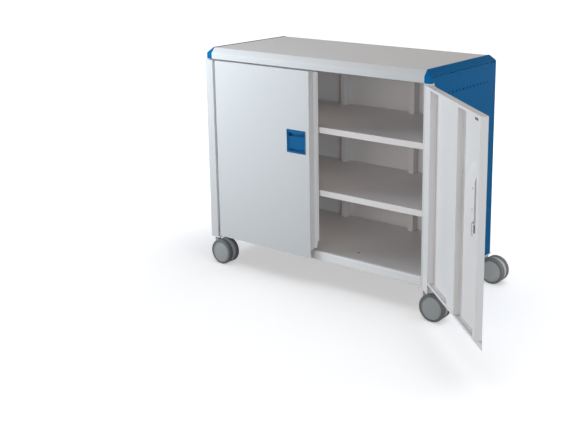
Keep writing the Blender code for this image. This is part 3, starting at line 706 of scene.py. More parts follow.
def shelf_sheet(node, sizes):
    """Shelf folded down at the front and the back, notched round the back posts."""
    low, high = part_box(node)
    foot = low.z - sizes.shelf_drop
    path = [
        (low.y + sizes.shelf_return, foot),
        (low.y, foot),
        (low.y, high.z),
        (high.y, high.z),
        (high.y, low.z),
    ]
    sheet = fold(path, "X", (low.x, high.x), sizes.sheet, sizes.bend)
    room = Vector((ROOM, ROOM, 2 * MARGIN.z))
    for side in ("left", "right"):
        post_low, post_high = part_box(f"{side}_back_post")
        notch_low = Vector((post_low.x, post_low.y, low.z))
        notch_high = Vector((post_high.x, post_high.y, high.z))
        cut(sheet, block(notch_low - room, notch_high + room))
    return sheet


def rail_sheet(sizes):
    """Channel under the door opening."""
    low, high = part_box("base_rail")
    path = [
        (high.y, low.z),
        (low.y, low.z),
        (low.y, high.z),
        (low.y + sizes.rail_head, high.z),
    ]
    return fold(path, "X", (low.x, high.x), sizes.sheet, sizes.bend)


def floor_sheet(sizes):
    """Floor of the lowest bay."""
    low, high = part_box("floor_pan")
    rear_low = high.z - sizes.shelf_return
    path = [(low.y, low.z), (low.y, high.z), (high.y, high.z), (high.y, rear_low)]
    return fold(path, "X", (low.x, high.x), sizes.sheet, sizes.bend)


def floor_plug(sizes):
    """Small rubber plug in the floor of the lowest bay."""
    low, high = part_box("floor_pan")
    place = (MIDDLE + sizes.plug_side, low.y + sizes.plug_back, high.z)
    plug = barrel(place, sizes.plug_radius, depth=0.003, sides=24, axis="Z")
    ease(plug, width=0.0007)
    return plug


def back_sheet(sizes):
    """Flat back with a foot flange."""
    low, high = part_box("back_panel")
    path = [(high.y, high.z), (high.y, low.z), (low.y, low.z)]
    return fold(path, "X", (low.x, high.x), sizes.sheet, sizes.bend)


def stile_sheet(sizes):
    """Right-hand upright of the face frame."""
    low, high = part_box("right_front_stile")
    path = [(high.x, low.y), (low.x, low.y), (low.x, high.y)]
    return fold(path, "Z", (low.z, high.z), sizes.sheet, sizes.bend)


def post_sheet(sizes):
    """Right-hand channel in front of the back panel."""
    low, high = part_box("right_back_post")
    path = [(high.x, high.y), (high.x, low.y), (low.x, low.y), (low.x, high.y)]
    return fold(path, "Z", (low.z, high.z), sizes.sheet, sizes.bend)


def hinge_tab(sizes):
    """Right-hand tab under the top's lip, with the upper hinge pin."""
    low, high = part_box("right_hinge_bracket")
    radius = sizes.hinge_pin
    bottom = high.z - sizes.hinge_tab
    front = PIVOT.y - radius
    outer = PIVOT.x + radius
    tab = block((PIVOT.x - 4 * radius, front, bottom), (outer, high.y, high.z))
    with editing(tab):
        bevel(tab, runs("z", y=front), 0.9 * radius, segments=6)
        bevel(tab, runs("z", x=outer, y=high.y), 3 * radius, segments=1)
    ease(tab, FINE_EDGE)
    rod_top = bottom + OVERLAP
    rod_middle = (PIVOT.x, PIVOT.y, (low.z + rod_top) / 2)
    rod = barrel(rod_middle, radius, depth=rod_top - low.z, sides=24, axis="Z")
    ease(rod, width=0.0006)
    return join([tab, rod])


def both_sides(piece, node, suffix):
    """Stand a right-hand piece and its mirrored twin in for a pair of nodes."""
    left = twin(piece, MIRROR)
    stand_for(piece, f"right_{node}", suffix)
    stand_for(left, f"left_{node}", suffix)


class CABINET_OT_carcass(bpy.types.Operator):
    """Fold the carcass sheets and paint the flat plates."""

    bl_idname = "cabinet.carcass"
    bl_label = "Carcass"

    def execute(self, context):
        sizes = context.scene.cabinet_sizes
        stand_for(top_sheet(sizes), "top_panel", "sheet")
        for node in ("upper_shelf", "lower_shelf"):
            stand_for(shelf_sheet(node, sizes), node, "sheet")
        stand_for(rail_sheet(sizes), "base_rail", "sheet")
        stand_for(floor_sheet(sizes), "floor_pan", "sheet")
        stand_for(back_sheet(sizes), "back_panel", "sheet")
        both_sides(stile_sheet(sizes), "front_stile", "sheet")
        both_sides(post_sheet(sizes), "back_post", "sheet")
        both_sides(hinge_tab(sizes), "hinge_bracket", "tab")
        add_detail(floor_plug(sizes), "floor_plug", "tyre_rubber", "cabinet")
        for side in ("left", "right"):
            repaint(f"{side}_side_wall")
            repaint(f"front_{side}_corner_plate")
            repaint(f"rear_{side}_corner_plate")
        return {"FINISHED"}


def vent_cutter(sizes, outer, top):
    """A row of round-ended bars that cut the vents."""
    half = Vector((2 * sizes.end_wall, sizes.vent_width / 2, sizes.vent_height / 2))
    centre_y = sum(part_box("top_panel"), Vector()).y / 2
    row = sizes.vent_pitch * (sizes.vent_count - 1)
    first = Vector((outer, centre_y - row / 2, top - sizes.vent_drop))
    bar = block(first - half, first + half)
    with editing(bar):
        bevel(bar, runs("x"), 0.98 * half.y, segments=6)
    steps = [Vector((0, index * sizes.vent_pitch, 0)) for index in range(1, sizes.vent_count)]
    return join([bar] + [twin(bar, Matrix.Translation(step)) for step in steps])


def end_shell(sizes):
    """Right-hand end panel: a bevelled hollow cap with a row of vents and a seam under its bevel."""
    low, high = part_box("right_end_panel")
    notch_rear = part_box("right_side_wall")[0].y
    lip_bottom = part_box("top_panel")[0].z
    run = sizes.chamfer_run
    drop = sizes.chamfer_drop
    ridge = high.z - drop
    shell = block(low, high)
    with editing(shell):
        shave((low.x, low.y, ridge), (0, -drop, run))
        shave((low.x, high.y, ridge), (0, drop, run))
        shave((high.x, low.y, ridge), (drop, 0, high.x - low.x - sizes.end_flat))
    cut(shell, block(low - MARGIN, (high.x + MARGIN.x, notch_rear, lip_bottom)))
    with editing(shell):
        bpy.ops.mesh.select_all(action="SELECT")
        bpy.ops.mesh.dissolve_limited(angle_limit=math.radians(1))
        pick(shell, "faces", facing(-1, 0, 0))
        bpy.ops.mesh.delete(type="FACE")
        bevel(shell, runs("z", x=high.x, y=high.y), sizes.end_round, segments=6)
        bevel(shell, bent, sizes.bend, segments=3)
    thicken(shell, sizes.end_wall)
    cut(shell, vent_cutter(sizes, high.x, high.z))
    seam_top = ridge - sizes.bend / 2
    seam_low = (high.x - 1.5 * sizes.end_wall, low.y + MARGIN.y, seam_top - sizes.bevel_seam)
    cut(shell, block(seam_low, (high.x + MARGIN.x, high.y - MARGIN.y, seam_top)))
    return shell


def vent_shade_sheet(sizes):
    """Near-black sheet behind the right-hand vents: painted shade that makes the vent holes read dark."""
    low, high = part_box("right_end_panel")
    gap = 0.0002
    half = Vector((0.0006, sizes.vent_pitch * sizes.vent_count / 2, 1.5 * sizes.vent_height))
    face = high.x - sizes.end_wall - gap
    centre = Vector((face - half.x, (low.y + high.y) / 2, high.z - sizes.vent_drop))
    painted_shade_piece = block(centre - half, centre + half)
    ease(painted_shade_piece, width=0.0003)
    return painted_shade_piece


class CABINET_OT_end_panels(bpy.types.Operator):
    """Model the two blue end panels."""

    bl_idname = "cabinet.end_panels"
    bl_label = "End panels"

    def execute(self, context):
        sizes = context.scene.cabinet_sizes
        both_sides(end_shell(sizes), "end_panel", "shell")
        right = vent_shade_sheet(sizes)
        left = twin(right, MIRROR)
        # The near-black sheets behind the vents are painted shade in the vent holes
        dark = tread_rubber("vent_screen_finish", context.scene.cabinet_finish.vent_dark)
        for side, piece in (("right", right), ("left", left)):
            add_detail(piece, f"{side}_vent_screen", "tyre_rubber", "cabinet")
            piece.data.materials[0] = dark
        return {"FINISHED"}


# Doors


def door_pan(sheet, sizes):
    """Folded door pan: lips round its open back, a bare skirt below, a hole for the pull."""
    low, high = closed("left_door_panel")
    sill = low.z + sizes.skirt
    pan = block((low.x, low.y, sill), high)
    looks_back = facing(0, 1, 0)
    skin_foot = runs("x", y=low.y, z=sill)
    with editing(pan):
        pick(pan, "faces", looks_back)
        bpy.ops.mesh.inset(thickness=sizes.end_lip)
        pick(pan, "edges", runs("z", x=low.x + sizes.end_lip))
        bpy.ops.transform.translate(value=(sizes.free_lip - sizes.end_lip, 0, 0))
        pick(pan, "edges", runs("z", x=high.x - sizes.end_lip))
        bpy.ops.transform.translate(value=(sizes.end_lip - sizes.hinge_lip, 0, 0))
        mouth = (high.x - low.x) * (high.z - sill) / 2
        pick(pan, "faces", lambda face: looks_back(face) and face.calc_area() > mouth)
        bpy.ops.mesh.delete(type="FACE")
        bevel(pan, lambda edge: bent(edge) and not skin_foot(edge), sizes.fold, segments=3)
    thicken(pan, sheet)
    combine(pan, block(low, (high.x, low.y + sheet, sill + 2 * sizes.fold)), "UNION")
    for seam in (sill + sizes.fold, high.z - sizes.fold - sizes.seam):
        seam_low = Vector((low.x - sheet, low.y + sizes.fold, seam))
        cut(pan, block(seam_low, (low.x + sheet / 2, high.y - sizes.fold, seam + sizes.seam)))
    pull_low, pull_high = closed("left_door_pull")
    inset = sizes.pull_cup - ROOM
    hole_low = Vector((pull_low.x + inset, low.y - MARGIN.y / 2, pull_low.z + inset))
    cut(pan, block(hole_low, (pull_high.x - inset, low.y + MARGIN.y / 2, pull_high.z - inset)))
    return pan


def hinge_post(sizes):
    """Post along a door's outer edge, with the strip behind the groove beside it."""
    low, high = closed("left_hinge_post")
    inner = high.x - sizes.post_width
    sharp = 1.0
    post = block((inner, low.y, low.z), high)
    with editing(post):
        bevel(post, runs("z", x=high.x, y=low.y), sizes.post_corner, segments=10)
        bevel(post, lambda edge: along(edge, "z") and bent(edge, sharp), sizes.fold, segments=3)
        bevel(post, lambda edge: bent(edge, sharp), offset=0.0005, segments=2)
    thickness = 0.0013
    set_in = 0.0002
    short = 0.001
    lap = 0.002
    strip_back = high.y - set_in
    strip_low = (low.x, strip_back - thickness, low.z + short)
    return join([post, block(strip_low, (inner + lap, strip_back, high.z - short))])


def hat_section(sheet, sizes):
    """Stiffener up the middle of a door."""
    low, high = closed("left_door_stiffener")
    flange = sizes.stiffener_flange
    base = low.y + sheet
    path = [
        (low.x, base),
        (low.x + flange, base),
        (low.x + flange, high.y),
        (high.x - flange, high.y),
        (high.x - flange, base),
        (high.x, base),
    ]
    return fold(path, "Z", (low.z, high.z), sheet, sizes.fold)


def astragal_strip(sheet, sizes):
    """Strip behind the meeting edges, with a round bead along its free edge."""
    low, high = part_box("left_door_astragal")
    bead_left = high.x - sizes.bead_width
    bead_low = low.z + sizes.bead_rise
    strip = block(low, (bead_left + sizes.bead_width / 2, low.y + sheet, high.z))
    with editing(strip):
        slope = (sizes.bead_rise, 0, -sizes.bead_width)
        shave((bead_left, low.y, bead_low - sizes.bead_width), slope)
    ease(strip, width=0.0003)
    bead = block((bead_left, low.y, bead_low), high)
    ease(bead, width=0.0016, segments=4)
    return join([strip, bead])


def swung(piece):
    """Swing a piece of the right door out to where it rests."""
    piece.data.transform(SWING)
    return piece


def both_doors(piece, node, suffix):
    """Stand a closed right-hand piece in for a node of each door."""
    left = twin(piece, MIRROR)
    stand_for(left, f"left_{node}", suffix)
    stand_for(swung(piece), f"right_{node}", suffix)


class CABINET_OT_doors(bpy.types.Operator):
    """Fold the door pans with their posts, stiffeners and astragal."""

    bl_idname = "cabinet.doors"
    bl_label = "Doors"

    def execute(self, context):
        sizes = context.scene.door_sizes
        sheet = context.scene.cabinet_sizes.door_sheet
        pan = door_pan(sheet, sizes)
        stand_for(twin(pan, MIRROR), "left_door_panel", "pan")
        cut(pan, lock_bore(sizes))
        stand_for(swung(pan), "right_door_panel", "pan")
        both_doors(hinge_post(sizes), "hinge_post", "shell")
        both_doors(hat_section(sheet, sizes), "door_stiffener", "hat")
        stand_for(astragal_strip(sheet, sizes), "left_door_astragal", "strip")
        return {"FINISHED"}


def pull_hood(sizes, low, high):
    """Curved finger hood across the top of a pull's mouth."""
    rim = sizes.pull_rim
    set_in = 0.0002
    front = low.y + set_in
    back = front + sizes.hood_thickness
    mouth_top = high.z - rim
    bottom = mouth_top - sizes.hood_height - sizes.hood_sag
    side = rim - OVERLAP
    hood = block((low.x + side, front, bottom), (high.x - side, back, mouth_top + OVERLAP))
    half = (high.x - low.x) / 2 - rim
    radius = (half ** 2 + sizes.hood_sag ** 2) / (2 * sizes.hood_sag)
    centre = ((low.x + high.x) / 2, (front + back) / 2, bottom + radius)
    combine(hood, barrel(centre, radius, depth=0.05, sides=160), "INTERSECT")
    ease(hood, FINE_EDGE)
    return hood


def pull_cup(sizes):
    """Recessed pull: soft rim, hollow floor, finger pocket at the top and a curved hood over it."""
    low, high = closed("left_door_pull")
    rim = sizes.pull_rim
    slack = 1e-4
    cup = block(low, (high.x, low.y + sizes.pull_flange, high.z))
    centre = (low + high) / 2
    mouth = high - low - 2 * Vector((rim, 0, rim))
    shrink = (1 - 2 * sizes.pull_draft / mouth.x, 1, 1 - 2 * sizes.pull_draft / mouth.z)
    floor_y = low.y + sizes.pull_shallow
    hollow_y = low.y + sizes.pull_flange

    def in_hollow(edge):
        return all(hollow_y + slack < vert.co.y < floor_y + slack for vert in edge.verts)

    def round_mouth(edge):
        in_front = all(near(vert.co.y, low.y) for vert in edge.verts)
        away = middle(edge) - centre
        return in_front and all(abs(away[axis]) < mouth[axis] / 2 + slack for axis in (0, 2))

    with editing(cup):
        pick(cup, "faces", facing(0, 1, 0))
        bpy.ops.mesh.inset(thickness=sizes.pull_cup)
        push(high.y - low.y - sizes.pull_flange)
        pick(cup, "faces", facing(0, -1, 0))
        bpy.ops.mesh.inset(thickness=rim)
        push(sizes.pull_shallow)
        bpy.ops.transform.resize(value=shrink)
        pick(cup, "verts", lambda vert: near(vert.co.y, floor_y) and vert.co.x > centre.x)
        bpy.ops.transform.translate(value=(0, -sizes.pull_tilt, 0))
        bevel(cup, in_hollow, sizes.pull_hollow, segments=6)
        bevel(cup, round_mouth, sizes.pull_lead, segments=4)
    wall = rim + OVERLAP
    pockets = (
        (high.z - sizes.pull_pocket, high.z - wall),
        (low.z + wall, low.z + sizes.pull_foot),
    )
    for bottom, top in pockets:
        pocket_low = (low.x + wall, low.y + 2 * sizes.pull_lead, bottom)
        cut(cup, block(pocket_low, (high.x - wall, low.y + sizes.pull_deep, top)))
    ease(cup, FINE_EDGE)
    return join([cup, pull_hood(sizes, low, high)])


class CABINET_OT_pulls(bpy.types.Operator):
    """Model the recessed pulls."""

    bl_idname = "cabinet.pulls"
    bl_label = "Pulls"

    def execute(self, context):
        both_doors(pull_cup(context.scene.door_sizes), "door_pull", "cup")
        return {"FINISHED"}


# Lock


def lock_bore(sizes):
    """Cutter for the lock's hole through the closed right door."""
    return barrel(LOCK_AXIS, sizes.lock_radius + ROOM, depth=0.08, sides=32)


def lock_cover(sizes):
    """Box over the lock and the pull's back: it falls away at the top and is stepped at its free side."""
    low, high = COVER_BOX
    cover = block(low, high)
    with editing(cover):
        fall = high.y - low.y - sizes.cover_end
        shave((low.x, high.y, high.z - sizes.cover_slope), (0, sizes.cover_slope, fall))
    step_low = Vector((low.x - MARGIN.x, high.y - sizes.cover_step, low.z - MARGIN.z))
    step_high = (low.x + sizes.cover_rebate, high.y + MARGIN.y, high.z + MARGIN.z)
    cut(cover, block(step_low, step_high))
    ease(cover, width=0.0007, segments=3)
    pull_low, pull_high = closed("left_door_pull")
    room = Vector((0.0004, 0.0004, 0.0004))
    cut(cover, block(pull_low - room, pull_high + room))
    cut(cover, lock_bore(sizes))
    return cover


def lock_barrel(sizes):
    """Lock cylinder with a rimmed head and a keyway."""
    low, high = closed_right("lock_cylinder")
    radius = sizes.lock_radius
    groove = 0.0004
    edge = 0.0008
    head = 0.003
    rim = radius + 0.002
    face = low.y - LOCK_AXIS.y
    end = high.y - LOCK_AXIS.y
    profile = [
        (0, face),
        (0.75 * radius, face),
        (0.8 * radius, face + groove),
        (rim - edge, face + groove),
        (rim, face + groove + edge),
        (rim, face + head),
        (radius, face + head),
        (radius, end),
        (0, end),
    ]
    cylinder = turned(profile, LOCK_AXIS, steps=48)
    keyway = Vector((0.001, 0.004, 0.004))
    mouth = Vector((LOCK_AXIS.x, low.y, LOCK_AXIS.z))
    cut(cylinder, block(mouth - keyway, mouth + keyway))
    return cylinder


def lock_ring(sizes):
    """Six-sided nut that holds the lock against its cover."""
    thickness = 0.0022
    centre = (LOCK_AXIS.x, COVER_BOX[1].y + thickness / 2, LOCK_AXIS.z)
    nut = barrel(centre, sizes.lock_nut, thickness, sides=6)
    ease(nut, width=0.0005)
    cut(nut, lock_bore(sizes))
    return nut


def door_magnet(sizes):
    """Magnet strip under the head of the right door, near its free edge, with the plate behind it."""
    low, high = closed("left_door_panel")
    gap = 0.002
    lap = 0.0005
    proud = 0.0001
    start = low.x + sizes.free_lip + gap
    end = start + 0.028
    bottom = high.z - sizes.magnet_low
    top = bottom + 0.006
    front = high.y - 0.005
    back = high.y - 0.0014
    magnet = block((start, front, bottom), (end, back, top))
    ease(magnet, width=0.0006)
    plate = block((start, front + lap, top - lap), (end, back + proud, high.z - gap))
    ease(plate, FINE_EDGE)
    return join([magnet, plate])


def lock_tongue():
    """Stamped cam with a round eye and a tapered end."""
    low, high = closed_right("lock_cam")
    width = high.x - low.x
    cam = block(low, high)
    with editing(cam):
        bevel(cam, lambda edge: along(edge, "y") and middle(edge).z > LOCK_AXIS.z, 0.46 * width, segments=8)
        bevel(cam, runs("y", z=low.z), 0.3 * width, segments=5)
    ease(cam, FINE_EDGE)
    return cam


def screw(centre, radius):
    """Pan-head screw with a cross recess, its head towards +Y."""
    height = 0.45 * radius
    top = centre + Vector((0, height, 0))
    head = barrel((centre + top) / 2, radius, height, sides=24)
    with editing(head):
        bevel(head, lambda edge: all(near(vert.co.y, top.y) for vert in edge.verts), 0.7 * height, segments=4)
    long, short = 0.6 * radius, 0.14 * radius
    for half_x, half_z in ((long, short), (short, long)):
        reach = Vector((half_x, 0.6 * height, half_z))
        cut(head, block(top - reach, top + reach))
    return head


class CABINET_OT_lock(bpy.types.Operator):
    """Model the lock with its cover, cam, nut and screws, and the door magnet."""

    bl_idname = "cabinet.lock"
    bl_label = "Lock"

    def execute(self, context):
        sizes = context.scene.door_sizes
        stand_for(swung(lock_cover(sizes)), "right_door_lock_cover", "box")
        stand_for(swung(lock_barrel(sizes)), "lock_cylinder", "barrel")
        stand_for(swung(lock_tongue()), "lock_cam", "tongue")
        across = closed("left_door_panel")[0].x + sizes.cover_screw_inset
        heights = {"lower": sizes.cover_screw_low, "upper": sizes.cover_screw_high}
        for name, height in heights.items():
            head = screw(Vector((across, COVER_BOX[1].y, height)), sizes.cover_screw)
            add_detail(swung(head), f"{name}_cover_screw", "lock_steel", "right_door")
        add_detail(swung(lock_ring(sizes)), "lock_nut", "lock_steel", "right_door")
        add_detail(swung(door_magnet(sizes)), "door_magnet", "tyre_rubber", "right_door")
        return {"FINISHED"}


# Casters


def wheel_centre(corner):
    """The middle of a caster, on its wheels' axle."""
    return Vector(JOINTS[f"{corner}_fore_spin"]["pos_m"])


def stem_place(corner):
    """A point on a caster's swivel axis."""
    return Vector(JOINTS[f"{corner}_swivel"]["pos_m"])


def caster_core(corner, sizes):
    """Caster body: a rounded disc between the wheels, with a square neck and a stem."""
    centre = wheel_centre(corner)
    stem = stem_place(corner)
    socket_low, socket_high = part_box(f"{corner}_caster_socket")
    gap = 0.0005
    neck_top = socket_low.z - gap
    core = barrel(centre, sizes.core_radius, sizes.core_width, WHEEL_STEPS)
    half = Vector((sizes.core_width / 2, sizes.core_width / 2, 0))
    neck_low = Vector((stem.x, stem.y, centre.z))
    neck_high = Vector((stem.x, stem.y, neck_top))
    combine(core, block(neck_low - half, neck_high + half), "UNION")
    ease(core, sizes.core_round, segments=3, angle=50)
    height = socket_high.z - neck_top
    rod_middle = (stem.x, stem.y, neck_top + height / 2 - OVERLAP)
    return join([core, barrel(rod_middle, sizes.stem_radius, height, sides=24, axis="Z")])


def socket_block(corner):
    """Square socket under a corner plate."""
    piece = block(*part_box(f"{corner}_caster_socket"))
    ease(piece, width=0.0012, segments=3)
    return piece


def hub_disc(corner, sizes):
    """Fore hub: domed face, raised rim bead and a fine groove inside it."""
    low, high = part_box(f"{corner}_fore_hub")
    centre = wheel_centre(corner)
    face = low.y - centre.y
    back = high.y - centre.y
    edge = face + sizes.dish
    radius = sizes.hub_radius
    bore = 0.006
    shares = [step / 10 for step in range(9)]
    dome = [(radius * share, face + sizes.dish * share ** 2) for share in shares]
    ring = [(radius - inset * sizes.rim_bead, edge + step) for inset, step in HUB_RING]
    return turned([*dome, *ring, (radius, back), (bore, back)], centre, WHEEL_STEPS)


def tyre_ring(corner, sizes):
    """Fore tyre with round shoulders."""
    low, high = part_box(f"{corner}_fore_tyre")
    centre = wheel_centre(corner)
    outer = centre.z
    gap = 0.0002
    inner = sizes.hub_radius + gap
    fore = low.y - centre.y
    aft = high.y - centre.y
    turn = sizes.tyre_round
    heel_turn = 0.002
    shoulder = arc((outer - turn, fore + turn), turn, -90, 0, 8)
    heel = arc((outer - heel_turn, aft - heel_turn), heel_turn, 0, 90, 4)
    profile = [(inner, fore), *shoulder, *heel, (inner, aft), (inner, fore)]
    return turned(profile, centre, WHEEL_STEPS)


def to_corner(corner):
    """Move from the front left caster to another."""
    return Matrix.Translation(wheel_centre(corner) - wheel_centre(CASTERS[0]))


def to_aft(corner):
    """Mirror a fore wheel to the aft side of its caster."""
    middle_y = wheel_centre(corner).y
    flip = Matrix.Scale(-1, 4, Vector((0, 1, 0)))
    return Matrix.Translation((0, 2 * middle_y, 0)) @ flip


class CABINET_OT_casters(bpy.types.Operator):
    """Model the four twin-wheel casters."""

    bl_idname = "cabinet.casters"
    bl_label = "Casters"

    def execute(self, context):
        sizes = context.scene.caster_sizes
        first = CASTERS[0]
        patterns = {
            "caster_body": caster_core(first, sizes),
            "caster_socket": socket_block(first),
            "fore_hub": hub_disc(first, sizes),
            "fore_tyre": tyre_ring(first, sizes),
        }
        for corner in CASTERS:
            for node, pattern in patterns.items():
                piece = twin(pattern, to_corner(corner))
                if node.startswith("fore"):
                    aft = twin(piece, to_aft(corner))
                    stand_for(aft, f"{corner}_{node.replace('fore', 'aft')}", "form")
                stand_for(piece, f"{corner}_{node}", "form")
            repaint(f"{corner}_axle")
        for pattern in patterns.values():
            discard(pattern)
        return {"FINISHED"}


# Stage

CASTER_FORMS = ("caster_body", "caster_socket", "fore_hub", "aft_hub", "fore_tyre", "aft_tyre")
HEART = (MIDDLE, 0.1, 0.5)
GROUND = (MIDDLE, 0.1, 0)
AXLE = sum(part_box("rear_right_axle"), Vector()) / 2
# Each soft light's place, target and size, and the group of pieces that it lights
LIGHTS = {
    "left": ((-3.5, -1.5, 1.2), HEART, (2.0, 2.0), "object_alone"),
    "key": ((-1.1, -1.0, 1.15), HEART, (0.6, 0.6), "outside_alone"),
    "front": ((-0.1, -3.0, 1.0), HEART, (2.0, 1.2), "right_alone"),
    "back": ((0.6, 3.6, 0.9), HEART, (2.4, 1.6), "object_alone"),
    "camera": ((3.2, -2.6, 1.0), HEART, (1.6, 1.4), "object_alone"),
    "side": ((3.4, 0.5, 1.1), HEART, (1.6, 1.6), "object_alone"),
    "edge": ((0.3, -2.5, 0.1), HEART, (1.0, 0.1), "shelves_alone"),
    "wheel": ((1.1, -0.6, 0.35), AXLE, (0.3, 0.3), "caster_alone"),
    "over": ((MIDDLE, 0.1, 3.2), GROUND, (3.6, 3.6), None),
    "floor": ((MIDDLE + 0.6, 0.3, 3.2), GROUND, (3.6, 3.6), "floor_alone"),
}
COOL_LIGHTS = ("left", "key", "camera")


def seen_by_eye(tree):
    """One for rays that the picture, a reflection or a clear material sees, else zero."""
    path = add_node(tree, "ShaderNodeLightPath")
    total = path.outputs["Is Camera Ray"]
    for name in ("Is Glossy Ray", "Is Transmission Ray"):
        add = add_node(tree, "ShaderNodeMath", operation="MAXIMUM")
        tree.links.new(total, add.inputs[0])
        tree.links.new(path.outputs[name], add.inputs[1])
        total = add.outputs[0]
    return total


def add_floor(studio):
    """White floor that keeps the soft shadow under the cabinet."""
    bpy.ops.object.select_all(action="DESELECT")
    bpy.ops.mesh.primitive_plane_add(size=80, location=(0, 0, 0))
    floor = settle(bpy.context.object)
    floor.name = "studio_floor"
    material, tree, shader = new_finish("studio_floor_finish", specular=0.0)
    shader.inputs["Roughness"].default_value = 1.0
    shader.inputs["Emission Color"].default_value = (1, 1, 1, 1)
    eye = seen_by_eye(tree)
    blend_colours(tree, eye, studio.floor_bounce, studio.floor_colour, shader.inputs["Base Color"])
    place = add_node(tree, "ShaderNodeTexCoord")
    reach = add_node(tree, "ShaderNodeVectorMath", operation="LENGTH")
    rise = {"From Min": studio.white_from, "From Max": studio.white_to, "To Min": studio.floor_glow}
    fade = add_node(tree, "ShaderNodeMapRange", rise, interpolation_type="SMOOTHSTEP")
    glow = add_node(tree, "ShaderNodeMath", operation="MULTIPLY")
    tree.links.new(place.outputs["Object"], reach.inputs[0])
    tree.links.new(reach.outputs["Value"], fade.inputs["Value"])
    tree.links.new(fade.outputs["Result"], glow.inputs[0])
    tree.links.new(eye, glow.inputs[1])
    tree.links.new(glow.outputs[0], shader.inputs["Emission Strength"])
    floor.data.materials.append(material)
    return floor


def light_group(name, state, pieces):
    """A group for light linking that leaves some pieces out or holds them alone."""
    group = bpy.data.collections.new(name)
    for piece in pieces:
        group.objects.link(piece)
    for member in group.collection_objects:
        member.light_linking.link_state = state
    return group


def light_groups(floor):
    """The groups that the soft lights are linked to, by name."""
    made = bpy.data.objects
    shelves = [made["lower_shelf_sheet"], made["upper_shelf_sheet"]]
    inside = [made["floor_pan_sheet"], *shelves]
    lit_by_key = [made["left_door_panel_pan"], made["left_hinge_post_shell"], made["top_panel_sheet"]]
    caster = [made[f"rear_right_{node}_form"] for node in CASTER_FORMS]
    members = {
        "object_alone": ("EXCLUDE", [floor]),
        "outside_alone": ("EXCLUDE", [floor, *inside]),
        "right_alone": ("EXCLUDE", [floor, *lit_by_key]),
        "shelves_alone": ("INCLUDE", shelves),
        "floor_alone": ("INCLUDE", [floor]),
        "caster_alone": ("INCLUDE", caster),
    }
    return {name: light_group(name, state, pieces) for name, (state, pieces) in members.items()}


def add_sky(studio):
    """Even light all round, white where the picture sees it."""
    world = bpy.data.worlds.new("studio_sky")
    world.use_nodes = True
    tree = world.node_tree
    background = tree.nodes["Background"]
    eye = seen_by_eye(tree)
    reach = add_node(tree, "ShaderNodeMapRange", {"To Min": studio.sky, "To Max": 1.0})
    tree.links.new(eye, reach.inputs["Value"])
    tree.links.new(reach.outputs["Result"], background.inputs["Strength"])
    blend_colours(tree, eye, studio.warm_tint, (1, 1, 1), background.inputs["Color"])
    bpy.context.scene.world = world


def add_light(name, place, target, size, power):
    """A rectangular soft light that looks at a target."""
    lamp = bpy.data.lights.new(name, "AREA")
    lamp.shape = "RECTANGLE"
    lamp.size, lamp.size_y = size
    lamp.energy = power
    light = bpy.data.objects.new(name, lamp)
    light.location = place
    light.visible_camera = False
    light.rotation_euler = (Vector(target) - Vector(place)).to_track_quat("-Z", "Y").to_euler()
    bpy.context.scene.collection.objects.link(light)
    return light


def add_soft_lights(studio, groups):
    """The large lights round the cabinet, each on the pieces that it is meant for."""
    for name, (place, target, size, group) in LIGHTS.items():
        light = add_light(f"{name}_light", place, target, size, getattr(studio, f"{name}_power"))
        if name in COOL_LIGHTS:
            light.data.color = studio.cool_tint
        if group:
            light.light_linking.receiver_collection = groups[group]


def add_bay_lights(studio):
    """A small hidden light behind the left door in each bay."""
    floors = ("floor_pan", "lower_shelf", "upper_shelf")
    levels = [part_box(node)[1].z for node in floors] + [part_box("top_panel")[0].z]
    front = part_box("upper_shelf")[0].y
    side = MIDDLE - 0.12
    behind_door = front + 0.05
    deep = front + 0.30
    headroom = 0.06
    size = (0.3, 0.08)
    for node, low, high in zip(floors, levels, levels[1:]):
        place = (side, behind_door, high - headroom)
        light = add_light(f"{node}_light", place, (side, deep, low), size, studio.bay_power)
        light.data.color = studio.warm_tint
        light.visible_glossy = False


def add_camera(studio):
    """Camera at the photograph's place, angle and framing."""
    lens = bpy.data.cameras.new("photo_camera")
    lens.sensor_fit = "HORIZONTAL"
    lens.lens = studio.focal_pixels / studio.picture_width * lens.sensor_width
    lens.shift_x = (studio.picture_width / 2 - studio.axis_x) / studio.picture_width
    lens.shift_y = (studio.axis_y - studio.picture_height / 2) / studio.picture_width
    camera = bpy.data.objects.new("photo_camera", lens)
    camera.location = studio.camera_place
    camera.rotation_euler = Euler(studio.camera_turn)
    bpy.context.scene.collection.objects.link(camera)
    bpy.context.scene.camera = camera


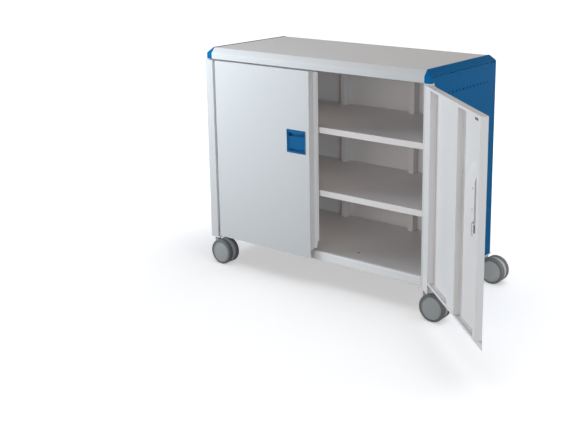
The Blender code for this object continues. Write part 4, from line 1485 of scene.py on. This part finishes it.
class CABINET_OT_stage(bpy.types.Operator):
    """Set the floor, the lights and the camera."""

    bl_idname = "cabinet.stage"
    bl_label = "Stage"

    def execute(self, context):
        studio = context.scene.studio
        floor = add_floor(studio)
        add_sky(studio)
        add_soft_lights(studio, light_groups(floor))
        add_bay_lights(studio)
        add_camera(studio)
        context.scene.view_settings.view_transform = "Standard"
        return {"FINISHED"}


OPERATORS = (
    CABINET_OT_carcass,
    CABINET_OT_end_panels,
    CABINET_OT_doors,
    CABINET_OT_pulls,
    CABINET_OT_lock,
    CABINET_OT_casters,
    CABINET_OT_stage,
)


class CABINET_PT_sidebar(bpy.types.Panel):
    """Lists the steps that dress the cabinet."""

    bl_label = "Storage cabinet"
    bl_idname = "CABINET_PT_sidebar"
    bl_space_type = "VIEW_3D"
    bl_region_type = "UI"
    bl_category = "Cabinet"

    def draw(self, context):
        for operator in OPERATORS:
            self.layout.operator(operator.bl_idname)
        for group in GROUPS:
            settings = getattr(context.scene, group)
            for name in settings.__annotations__:
                self.layout.prop(settings, name)


GROUPS = {
    "cabinet_finish": CabinetFinish,
    "cabinet_sizes": CabinetSizes,
    "door_sizes": DoorSizes,
    "caster_sizes": CasterSizes,
    "studio": StudioSettings,
}
CLASSES = (*GROUPS.values(), *OPERATORS, CABINET_PT_sidebar)


def register():
    """Register the classes and hang the settings on the scene."""
    for item in CLASSES:
        bpy.utils.register_class(item)
    for name, group in GROUPS.items():
        setattr(bpy.types.Scene, name, PointerProperty(type=group))


def unregister():
    """Take the settings and the classes away again."""
    for name in GROUPS:
        delattr(bpy.types.Scene, name)
    for item in reversed(CLASSES):
        bpy.utils.unregister_class(item)


def main():
    """Dress the cabinet piece by piece."""
    register()
    bpy.ops.object.select_all(action="DESELECT")
    bpy.ops.cabinet.carcass()
    bpy.ops.cabinet.end_panels()
    bpy.ops.cabinet.doors()
    bpy.ops.cabinet.pulls()
    bpy.ops.cabinet.lock()
    bpy.ops.cabinet.casters()
    bpy.ops.cabinet.stage()


if __name__ == "__main__":
    main()
